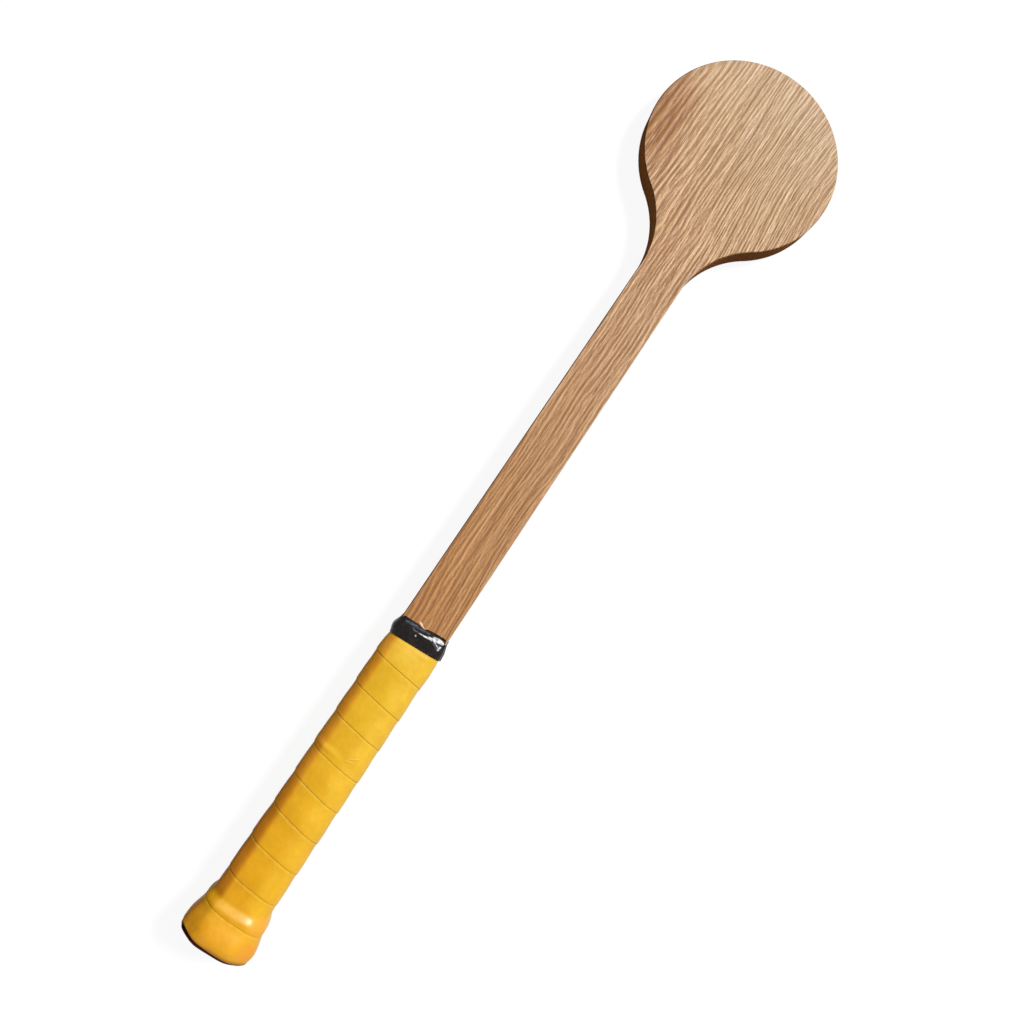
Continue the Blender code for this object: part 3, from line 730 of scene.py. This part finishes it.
def new_group(name, inputs, outputs):
    """An empty node group with named inputs and outputs, each a (name, kind, value)."""
    group = bpy.data.node_groups.new(name, "ShaderNodeTree")
    for label, kind, value in inputs:
        socket = group.interface.new_socket(label, in_out="INPUT", socket_type="NodeSocket" + kind)
        socket.default_value = value
    for label, kind in outputs:
        group.interface.new_socket(label, in_out="OUTPUT", socket_type="NodeSocket" + kind)
    recipe = Recipe(group)
    return group, recipe, recipe.node("NodeGroupInput").outputs, recipe.node("NodeGroupOutput").inputs


def mottle_group():
    """Soft uneven skin of moulded and coated goods: broad blotches, and a fine grain to bump."""
    inputs = [("Blotch Size", "Float", 9.0), ("Grain Size", "Float", 0.8)]
    outputs = [("Blotch", "Float"), ("Height", "Float")]
    group, recipe, given, result = new_group("mottled_skin", inputs, outputs)
    place = recipe.coordinates()
    broad = recipe.noise(place, recipe.math("DIVIDE", 1000.0, given["Blotch Size"]), 3.0, 0.55)
    fine = recipe.noise(place, recipe.math("DIVIDE", 1000.0, given["Grain Size"]), 3.0, 0.6)
    recipe.feed(result["Blotch"], recipe.remap(broad, 0.32, 0.68))
    recipe.feed(result["Height"], recipe.plus(recipe.times(broad, 2.5), fine))
    return group


def oak_group():
    """Brushed oak: long wavy ridges and furrows along the board, finer on its right, in growth rings.

    The grain is noise that is drawn out along the board, in a place that wanders and ripples
    across it. Taking the same noise a little to one side away from it leaves only fine lines. Long
    and short ones are added, and a speck breaks them up. Rings are counted by the distance from a
    pith that lies outside the board.
    """
    inputs = [("Ring Width", "Float", 5.5), ("Finer Right", "Float", 3.6)]
    outputs = [("Ring", "Float"), ("Ridge", "Float"), ("Pore", "Float"), ("Height", "Float")]
    group, recipe, given, result = new_group("oak_grain", inputs, outputs)
    place = recipe.coordinates()
    split = recipe.apart(place)
    shift = 0.0
    for scale, amount in (((9.0, 16.0, 16.0), 0.012), ((50.0, 60.0, 60.0), 0.0008)):
        sway = recipe.noise(recipe.stretched(place, scale), 1.0, 1.0)
        shift = recipe.plus(recipe.times(recipe.minus(sway, 0.5), amount), shift)
    bent_y = recipe.plus(split[1], shift)
    squeezed = recipe.times(recipe.times(bent_y, bent_y), given["Finer Right"])
    even_y = recipe.minus(bent_y, squeezed)
    bent = recipe.node("ShaderNodeCombineXYZ", {0: split[0], 1: even_y, 2: split[2]}).outputs[0]
    across = recipe.math("POWER", recipe.minus(bent_y, 0.034), 2.0)
    down = recipe.math("POWER", recipe.plus(split[2], 0.052), 2.0)
    radius = recipe.math("SQRT", recipe.plus(across, down))
    radius = recipe.plus(radius, recipe.times(split[0], 0.018))
    rings = recipe.math("DIVIDE", recipe.times(radius, 1000.0), given["Ring Width"])
    phase = recipe.math("FRACT", rings)
    ring = recipe.times(recipe.remap(phase, 0.0, 0.15), recipe.remap(phase, 0.25, 0.85, 1.0, 0.0))
    beside = recipe.vector("ADD", bent, (0.0, 0.0012, 0.0))
    lines = []
    for scale in ((26.0, 780.0, 780.0), (130.0, 860.0, 860.0)):
        near, far = (recipe.noise(recipe.stretched(where, scale), 1.0, 1.0) for where in (bent, beside))
        lines.append(recipe.plus(recipe.minus(near, far), 0.5))
    fine = recipe.plus(recipe.times(lines[0], 0.66), recipe.times(lines[1], 0.34))
    broad = recipe.noise(recipe.stretched(bent, (20.0, 380.0, 380.0)), 1.0, 1.0)
    both = recipe.plus(recipe.times(fine, 0.9), recipe.times(broad, 0.1))
    speck = recipe.noise(recipe.stretched(place, (1000.0, 1500.0, 1500.0)), 1.0, 1.0)
    specked = recipe.plus(both, recipe.times(recipe.minus(speck, 0.5), 0.24))
    ridge = recipe.remap(specked, 0.37, 0.63)
    thread = recipe.noise(recipe.stretched(bent, (120.0, 1900.0, 1900.0)), 1.0, 1.0)
    pore = recipe.times(recipe.remap(thread, 0.58, 0.72), recipe.remap(both, 0.42, 0.55, 1.0, 0.3))
    height = recipe.minus(recipe.times(both, 4.0), recipe.times(pore, 0.25))
    for label, value in (("Ring", ring), ("Ridge", ridge), ("Pore", pore), ("Height", height)):
        recipe.feed(result[label], value)
    return group


def new_material(name):
    """A node material, its recipe and its shader's inputs."""
    material = bpy.data.materials.new(name)
    material.use_nodes = True
    recipe = Recipe(material.node_tree)
    return material, recipe, material.node_tree.nodes["Principled BSDF"].inputs


def make_oak(group):
    """Brushed and oiled oak: tan at the handle and paler on the head, browner in its furrows. The paler
    head is partly the oak's own tone and partly a painted sheen, bluish white towards the tip.

    The grain is strongest on the upper neck and the lower head, and faint at the tip. The board's
    sides are dark and dull. Its arris has painted shade where it faces left and a painted highlight
    on the upper right.
    """
    material, recipe, skin_of = new_material("brushed_oak")
    grain = recipe.use(group)
    place = recipe.coordinates()
    split = recipe.apart(place)
    facing = recipe.apart(recipe.coordinates("Normal"))
    # Paler towards the head and to the right: partly the oak's own tone, partly a painted sheen from the
    # window
    leaning = recipe.minus(split[0], recipe.times(split[1], 2.0))
    up = recipe.node("ShaderNodeMapRange", {"Value": leaning, "From Min": 0.2, "From Max": 0.59}).outputs[0]
    colour = recipe.mix(up, rgb(0.435, 0.2, 0.064), rgb(0.57, 0.368, 0.208))
    uneven = recipe.noise(recipe.stretched(place, (14.0, 90.0, 90.0)), 1.0, 2.0)
    stained = recipe.far_from(place, (0.528, 0.052, 0.0075), (24.0, 50.0, 30.0))
    stained = recipe.plus(stained, recipe.times(uneven, 0.8))
    colour = recipe.mix(recipe.remap(stained, 0.6, 1.6, 0.95, 0.0), colour, rgb(0.35, 0.15, 0.04))
    uneven = recipe.remap(uneven, 0.35, 0.65)
    colour = recipe.tinted(colour, uneven, rgb(0.96, 0.94, 0.91), rgb(1.03, 1.04, 1.05))
    worn = recipe.remap(split[0], 0.405, 0.45)
    colour = recipe.tinted(colour, worn, rgb(1.0, 1.0, 1.0), rgb(0.97, 0.935, 0.88))
    # Painted bluish-white sheen towards the tip
    tip_sheen_painted = recipe.remap(split[0], 0.47, 0.592)
    colour = recipe.tinted(colour, tip_sheen_painted, rgb(1.0, 1.0, 1.0), rgb(1.06, 1.15, 1.3))
    stained = recipe.spot(place, (0.527, -0.056, 0.0075), (26.0, 60.0, 30.0), 0.3, 1.1, 0.5)
    colour = recipe.mix(stained, colour, rgb(0.47, 0.255, 0.115))
    colour = recipe.tinted(colour, grain["Ring"], rgb(1.05, 1.06, 1.07), rgb(0.9, 0.86, 0.8))
    strong = recipe.times(recipe.remap(split[0], 0.41, 0.45), recipe.remap(split[0], 0.53, 0.48))
    faint = recipe.remap(split[0], 0.53, 0.585)
    furrow = recipe.mix(strong, rgb(0.75, 0.66, 0.53), rgb(0.65, 0.54, 0.41))
    furrow = recipe.mix(faint, furrow, rgb(0.81, 0.74, 0.63))
    crest = recipe.mix(strong, rgb(1.22, 1.255, 1.285), rgb(1.3, 1.35, 1.39))
    crest = recipe.mix(faint, crest, rgb(1.16, 1.18, 1.2))
    colour = recipe.tinted(colour, grain["Ridge"], furrow, crest)
    colour = recipe.mix(recipe.times(grain["Pore"], 0.55), colour, rgb(0.2, 0.085, 0.03))
    on_face = recipe.remap(recipe.math("ABSOLUTE", split[2]), 0.0064, 0.0073)
    on_side = recipe.times(recipe.minus(1.0, on_face), 0.85)
    colour = recipe.mix(on_side, colour, rgb(0.37, 0.125, 0.034))
    # Painted shade on the arris where it faces left, away from the window
    shaded = recipe.times(on_face, recipe.remap(facing[1], 0.08, 0.4, 0.0, 0.85))
    colour = recipe.mix(shaded, colour, rgb(0.1, 0.045, 0.018))
    # Painted highlight on the arris on the upper right, which is also glossier there
    lit = recipe.minus(recipe.times(facing[0], 0.8), recipe.plus(facing[1], 0.4))
    lit_arris = recipe.times(on_face, recipe.remap(lit, 0.0, 0.25))
    colour = recipe.mix(recipe.times(lit_arris, 0.55), colour, rgb(0.85, 0.78, 0.66))
    recipe.feed(skin_of["Base Color"], colour)
    rough = recipe.remap(grain["Ridge"], 0.0, 1.0, 0.56, 0.46)
    recipe.feed(skin_of["Roughness"], recipe.minus(rough, recipe.times(lit_arris, 0.14)))
    flat = recipe.remap(recipe.math("ABSOLUTE", facing[2]), 0.86, 0.98, 0.0, 0.48)
    recipe.feed(skin_of["Specular IOR Level"], recipe.plus(flat, recipe.times(lit_arris, 0.4)))
    recipe.feed(skin_of["Normal"], recipe.bump(grain["Height"], 0.00022))
    return material


def crease_light_group():
    """A crease pressed into the front, as painted light only: painted shade on its upper side and a painted
    highlight on its lower one.
    """
    inputs = [
        ("Start", "Vector", (0.0, 0.0, 0.0)),
        ("Along", "Vector", (1.0, 0.0, 0.0)),
        ("Length", "Float", 0.005),
    ]
    outputs = [("Shade", "Float"), ("Highlight", "Float")]
    group, recipe, given, result = new_group("crease_shade_and_highlight", inputs, outputs)
    place = recipe.coordinates()
    from_start = recipe.vector("SUBTRACT", place, given["Start"])
    run = recipe.vector("DOT_PRODUCT", from_start, given["Along"], "Value")
    side = recipe.apart(recipe.vector("CROSS_PRODUCT", given["Along"], from_start))[2]
    height = recipe.apart(place)[2]
    begun = recipe.remap(run, -0.0003, 0.0006)
    left = recipe.remap(recipe.minus(given["Length"], run), -0.0003, 0.0012)
    inside = recipe.times(recipe.times(begun, left), recipe.remap(height, 0.0, 0.004))
    for label, low, high in (("Shade", 0.00045, -0.0001), ("Highlight", -0.0001, -0.0007)):
        rise = recipe.remap(side, low + 0.0003, (low + high) / 2)
        fall = recipe.remap(side, (low + high) / 2, high - 0.0003, 1.0, 0.0)
        recipe.feed(result[label], recipe.times(inside, recipe.times(rise, fall)))
    return group


def make_overgrip_skin(group, pressed):
    """Tacky coated strip: yellow, deeper at the butt, with painted shade on its left, and dirt and painted
    shade in the seams.

    The tones are laid on in turn: up the handle with a painted sheen on the last turn, painted light to
    the right and painted shade to the left, in blotches, then on the flare with a painted highlight on
    its crown, a painted highlight on the bead and under the seams, and last four spots, the last one
    painted shade, the dirt and painted shade, and the painted shade and highlight of two pressed creases.
    """
    material, recipe, skin_of = new_material("yellow_coated_strip")
    mottle = recipe.use(group, {"Blotch Size": 13.0, "Grain Size": 1.1})
    patchy = recipe.use(group, {"Blotch Size": 3.5, "Grain Size": 0.8})
    place = recipe.coordinates()
    split = recipe.apart(place)
    facing = recipe.apart(recipe.coordinates("Normal"))
    up = recipe.remap(split[0], 0.0, 0.19)
    # Painted sheen: the last turn is paler, where the window glances off it
    last_turn_sheen = recipe.remap(split[0], 0.166, 0.182)
    colour = recipe.mix(up, rgb(0.78, 0.365, 0.004), rgb(0.815, 0.483, 0.017))
    colour = recipe.mix(last_turn_sheen, colour, rgb(0.86, 0.53, 0.045))
    less_left = recipe.remap(split[0], 0.018, 0.0155, 0.12, 0.5)
    less_left = recipe.math("MAXIMUM", less_left, recipe.remap(split[0], 0.0225, 0.0275))
    # Facing left, for painted light on the right and painted shade on the left, held back on the flare
    leftward = recipe.times(facing[1], less_left)
    # Painted light: paler where the strip faces right, towards the window
    right = recipe.mix(up, rgb(0.865, 0.465, 0.016), rgb(0.855, 0.515, 0.034))
    colour = recipe.mix(recipe.remap(leftward, 0.0, -0.15), colour, right)
    # Painted shade where the strip faces left, lighter up the handle
    left = recipe.mix(recipe.remap(split[0], 0.08, 0.106), rgb(0.72, 0.265, 0.016), rgb(0.9, 0.37, 0.027))
    left = recipe.mix(last_turn_sheen, left, rgb(0.93, 0.42, 0.038))
    colour = recipe.mix(recipe.remap(leftward, 0.02, 0.68), colour, left)
    colour = recipe.tinted(colour, mottle["Blotch"], rgb(0.95, 0.925, 0.85), rgb(1.03, 1.045, 1.1))
    colour = recipe.tinted(colour, patchy["Blotch"], rgb(0.975, 0.965, 0.95), rgb(1.02, 1.025, 1.04))
    on_flare = recipe.remap(split[0], 0.0205, 0.0165)
    orange = recipe.times(on_flare, recipe.remap(patchy["Blotch"], 0.2, 0.8, 0.3, 0.8))
    colour = recipe.mix(orange, colour, rgb(0.83, 0.38, 0.012))
    # Painted highlight on the front of the crown between the flare and the bead
    flare_crown_highlight = recipe.remap(recipe.math("ABSOLUTE", recipe.minus(split[0], 0.0145)), 0.0045, 0.001)
    flare_crown_highlight = recipe.times(flare_crown_highlight, recipe.remap(facing[2], 0.5, 0.9, 0.0, 0.3))
    colour = recipe.mix(flare_crown_highlight, colour, rgb(0.92, 0.49, 0.045))
    scuffed = recipe.times(recipe.remap(split[0], 0.013, 0.003), recipe.minus(1.0, patchy["Blotch"]))
    colour = recipe.mix(recipe.times(scuffed, 0.5), colour, rgb(0.72, 0.31, 0.03))
    # Painted highlight just under the seams
    pale = recipe.times(recipe.own_value("seam_highlight"), recipe.remap(patchy["Blotch"], 0.1, 0.9, 0.35, 0.7))
    colour = recipe.mix(pale, colour, rgb(0.93, 0.58, 0.05))
    # Painted highlight where the strip faces up the handle towards the window, most on the bead's upper
    # slope
    headward_highlight = recipe.times(recipe.remap(facing[0], 0.12, 0.5, 0.0, 0.5), recipe.remap(facing[1], 0.8, 0.1))
    headward_highlight = recipe.times(headward_highlight, recipe.remap(split[0], 0.017, 0.02))
    headward_highlight = recipe.times(headward_highlight, recipe.remap(patchy["Blotch"], 0.0, 0.7, 0.7, 1.0))
    colour = recipe.mix(headward_highlight, colour, rgb(0.93, 0.57, 0.11))
    for centre, scale, near, strength, tone in (
        ((0.0215, -0.0145, 0.012), (150.0, 150.0, 50.0), 0.2, 0.85, rgb(0.92, 0.4, 0.035)),
        ((0.008, -0.0165, 0.012), (150.0, 190.0, 50.0), 0.2, 0.75, rgb(0.87, 0.33, 0.03)),
        ((0.0135, 0.0175, 0.009), (190.0, 250.0, 80.0), 0.2, 0.5, rgb(0.85, 0.33, 0.015)),
        # Painted shade in the pocket at the bead's foot on the left
        ((0.0256, 0.0124, 0.013), (300.0, 320.0, 60.0), 0.1, 0.4, rgb(0.43, 0.16, 0.002)),
    ):
        colour = recipe.mix(recipe.spot(place, centre, scale, near, 1.1, strength), colour, tone)
    # Dirt and painted shade in the seams
    dirt_and_shade = recipe.math("MAXIMUM", recipe.own_value("edge_dirt_and_shade"), recipe.own_value("seam_dirt_and_shade"))
    colour = recipe.mix(recipe.times(dirt_and_shade, 0.25), colour, rgb(0.5, 0.19, 0.003))
    colour = recipe.mix(recipe.remap(split[0], 0.0033, 0.0002, 0.0, 0.85), colour, rgb(0.2, 0.06, 0.006))
    # Two pressed creases, painted only as shade above and highlight below
    for start, end in (((120.0, -10.2), (117.0, -4.6)), ((116.6, -7.8), (115.5, -3.2))):
        begins = (start[0] * MM, start[1] * MM, 0.0)
        run = Vector((end[0] - start[0], end[1] - start[1], 0.0)) * MM
        line = recipe.use(pressed, {"Start": begins, "Along": run.normalized(), "Length": run.length})
        colour = recipe.mix(recipe.times(line["Shade"], 0.35), colour, rgb(0.5, 0.24, 0.006))
        colour = recipe.mix(recipe.times(line["Highlight"], 0.5), colour, rgb(0.95, 0.64, 0.09))
    recipe.feed(skin_of["Base Color"], colour)
    recipe.feed(skin_of["Roughness"], recipe.remap(mottle["Blotch"], 0.0, 1.0, 0.4, 0.5))
    recipe.feed(skin_of["Normal"], recipe.bump(patchy["Height"], 0.00012, 0.6))
    recipe.feed(skin_of["Specular IOR Level"], recipe.remap(facing[1], 0.1, 0.6, 0.16, 0.03))
    on_bead = recipe.times(recipe.remap(split[0], 0.03, 0.025), recipe.remap(split[0], 0.018, 0.0205))
    coat = recipe.remap(facing[1], 0.1, 0.6, 0.22, 0.01)
    recipe.feed(skin_of["Coat Weight"], recipe.times(coat, recipe.remap(on_bead, 0.0, 1.0, 1.0, 1.6)))
    recipe.feed(skin_of["Coat Roughness"], recipe.remap(on_bead, 0.0, 1.0, 0.22, 0.27))
    return material


def make_vinyl(group):
    """Glossy black vinyl: painted highlights in broken pale lines and a painted blue-grey sheen, brown
    where bared, with a cream fray.
    """
    material, recipe, skin_of = new_material("stretched_vinyl")
    mottle = recipe.use(group, {"Blotch Size": 3.0, "Grain Size": 0.7})
    streaks = recipe.use(group, {"Blotch Size": 1.2, "Grain Size": 0.5})
    colour = recipe.mix(mottle["Blotch"], rgb(0.005, 0.003, 0.003), rgb(0.014, 0.009, 0.009))
    place = recipe.coordinates()
    lines = recipe.noise(recipe.stretched(place, (1900.0, 500.0, 500.0)), 1.0, 2.0)
    # Painted blue-grey sheen
    grey = recipe.times(recipe.own_value("painted_sheen"), recipe.remap(lines, 0.36, 0.6, 0.1, 1.0))
    colour = recipe.mix(grey, colour, rgb(0.11, 0.125, 0.15))
    # Painted highlights in broken white lines
    white = recipe.times(recipe.own_value("painted_highlight"), recipe.remap(lines, 0.32, 0.54, 0.2, 1.0))
    white = recipe.times(white, recipe.remap(streaks["Blotch"], 0.0, 0.6, 0.75, 1.0))
    colour = recipe.mix(white, colour, rgb(0.96, 0.97, 0.98))
    colour = recipe.mix(recipe.times(recipe.own_value("bared"), 0.9), colour, rgb(0.4, 0.18, 0.06))
    colour = recipe.mix(recipe.own_value("frayed"), colour, rgb(0.86, 0.68, 0.45))
    recipe.feed(skin_of["Base Color"], colour)
    recipe.feed(skin_of["Roughness"], recipe.remap(mottle["Blotch"], 0.0, 1.0, 0.14, 0.34))
    recipe.feed(skin_of["Normal"], recipe.bump(mottle["Height"], 0.0001, 0.7))
    skin_of["Specular IOR Level"].default_value = 0.15
    return material


def make_plain(name, group, shades, rough, size, metallic=0.0, bump=0.00005, gloss=0.5):
    """A moulded, foamed or drawn finish: two near shades in blotches and a fine uneven skin."""
    material, recipe, skin_of = new_material(name)
    mottle = recipe.use(group, {"Blotch Size": size, "Grain Size": size / 8})
    recipe.feed(skin_of["Base Color"], recipe.mix(mottle["Blotch"], *shades))
    recipe.feed(skin_of["Roughness"], recipe.remap(mottle["Blotch"], 0.0, 1.0, rough - 0.06, rough + 0.06))
    recipe.feed(skin_of["Normal"], recipe.bump(mottle["Height"], bump))
    skin_of["Metallic"].default_value = metallic
    skin_of["Specular IOR Level"].default_value = gloss
    return material


# Studio


def seen_directly(recipe):
    """1 for what the camera sees, straight or in a gloss, and 0 for the light of the room."""
    path = recipe.node("ShaderNodeLightPath").outputs
    seen = recipe.math("MAXIMUM", path["Is Camera Ray"], path["Is Glossy Ray"])
    return recipe.math("MAXIMUM", seen, path["Is Transmission Ray"])


def make_room():
    """An even pale room that is white where it is seen."""
    world = bpy.data.worlds.new("pale_room")
    world.use_nodes = True
    bpy.context.scene.world = world
    recipe = Recipe(world.node_tree)
    background = world.node_tree.nodes["Background"]
    background.inputs["Color"].default_value = rgb(1.0, 1.0, 1.0)
    strength = recipe.remap(seen_directly(recipe), 0.0, 1.0, ROOM_STRENGTH, 1.0)
    recipe.feed(background.inputs["Strength"], strength)


def make_floor():
    """White floor under the bat as it lies on its back, touching the flare and the head's edge."""
    low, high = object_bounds()
    butt = (FLARE_AT, low.z)
    tip = (high.x, -HALF_BOARD)
    slope = (tip[1] - butt[1]) / (tip[0] - butt[0])
    ways = ((-1, -1), (1, -1), (1, 1), (-1, 1))
    corners = [(butt[0] + a * FLOOR_REACH, b * FLOOR_REACH) for a, b in ways]
    mesh = bpy.data.meshes.new("floor")
    mesh.from_pydata([(x, y, butt[1] + slope * (x - butt[0])) for x, y in corners], [], [(0, 1, 2, 3)])
    floor = bpy.data.objects.new("floor", mesh)
    bpy.context.scene.collection.objects.link(floor)
    material = bpy.data.materials.new("white_floor")
    material.use_nodes = True
    material.node_tree.nodes.remove(material.node_tree.nodes["Principled BSDF"])
    recipe = Recipe(material.node_tree)
    seen = seen_directly(recipe)
    tone = recipe.remap(seen, 0.0, 1.0, FLOOR_BOUNCE, 1.0)
    paint = recipe.node("ShaderNodeBsdfDiffuse", {"Color": recipe.mix(tone, rgb(0, 0, 0), rgb(1, 1, 1))})
    glow = recipe.node("ShaderNodeEmission", {"Strength": 1.03})
    share = recipe.times(seen, 1 - FLOOR_SHADOW_SHARE)
    both = recipe.node("ShaderNodeMixShader", {0: share, 1: paint.outputs[0], 2: glow.outputs[0]})
    recipe.feed(material.node_tree.nodes["Material Output"].inputs["Surface"], both.outputs[0])
    mesh.materials.append(material)


def make_window():
    """The soft light that comes from beyond the head, on the right."""
    lamp = bpy.data.lights.new("window", "SUN")
    lamp.energy = WINDOW_STRENGTH
    lamp.angle = WINDOW_SOFTNESS
    window = bpy.data.objects.new("window", lamp)
    window.rotation_mode = "QUATERNION"
    window.rotation_quaternion = Vector(WINDOW_FROM).to_track_quat("Z", "Y")
    bpy.context.scene.collection.objects.link(window)


def make_camera():
    """The camera at the photograph's place, turned as the photograph is."""
    data = bpy.data.cameras.new("camera")
    data.lens = CAMERA_LENS
    data.sensor_width = CAMERA_SENSOR
    camera = bpy.data.objects.new("camera", data)
    right = Vector(CAMERA_RIGHT).normalized()
    back = right.cross(Vector(CAMERA_TOP)).normalized()
    turned = Matrix((right, back.cross(right), back)).transposed().to_4x4()
    camera.matrix_world = Matrix.Translation(CAMERA_PLACE) @ turned
    bpy.context.scene.collection.objects.link(camera)
    bpy.context.scene.camera = camera


def main():
    bpy.context.scene.view_settings.view_transform = "Standard"
    make_camera()
    make_window()
    make_room()
    make_floor()
    mottle = mottle_group()
    oak = make_oak(oak_group())
    brown_black = (rgb(0.045, 0.009, 0.002), rgb(0.08, 0.018, 0.004))
    plastic = make_plain("moulded_black", mottle, brown_black, 0.4, 6.0, gloss=0.08)
    bright_grey = (rgb(0.5, 0.5, 0.5), rgb(0.62, 0.62, 0.63))
    steel = make_plain("tack_steel", mottle, bright_grey, 0.34, 1.5, metallic=1.0)
    soft_black = (rgb(0.02, 0.02, 0.02), rgb(0.04, 0.038, 0.036))
    foam = make_plain("black_foam", mottle, soft_black, 0.8, 4.0, bump=0.0002)
    make_board(oak)
    make_cap(plastic)
    make_cushion(foam)
    make_overgrip(make_overgrip_skin(mottle, crease_light_group()))
    make_tape(make_vinyl(mottle))
    for node, material in (
        ("handle_cheek_front", oak),
        ("handle_cheek_back", oak),
        ("cap_tack_left", steel),
        ("cap_tack_right", steel),
    ):
        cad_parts[node].material_slots[0].material = material


main()
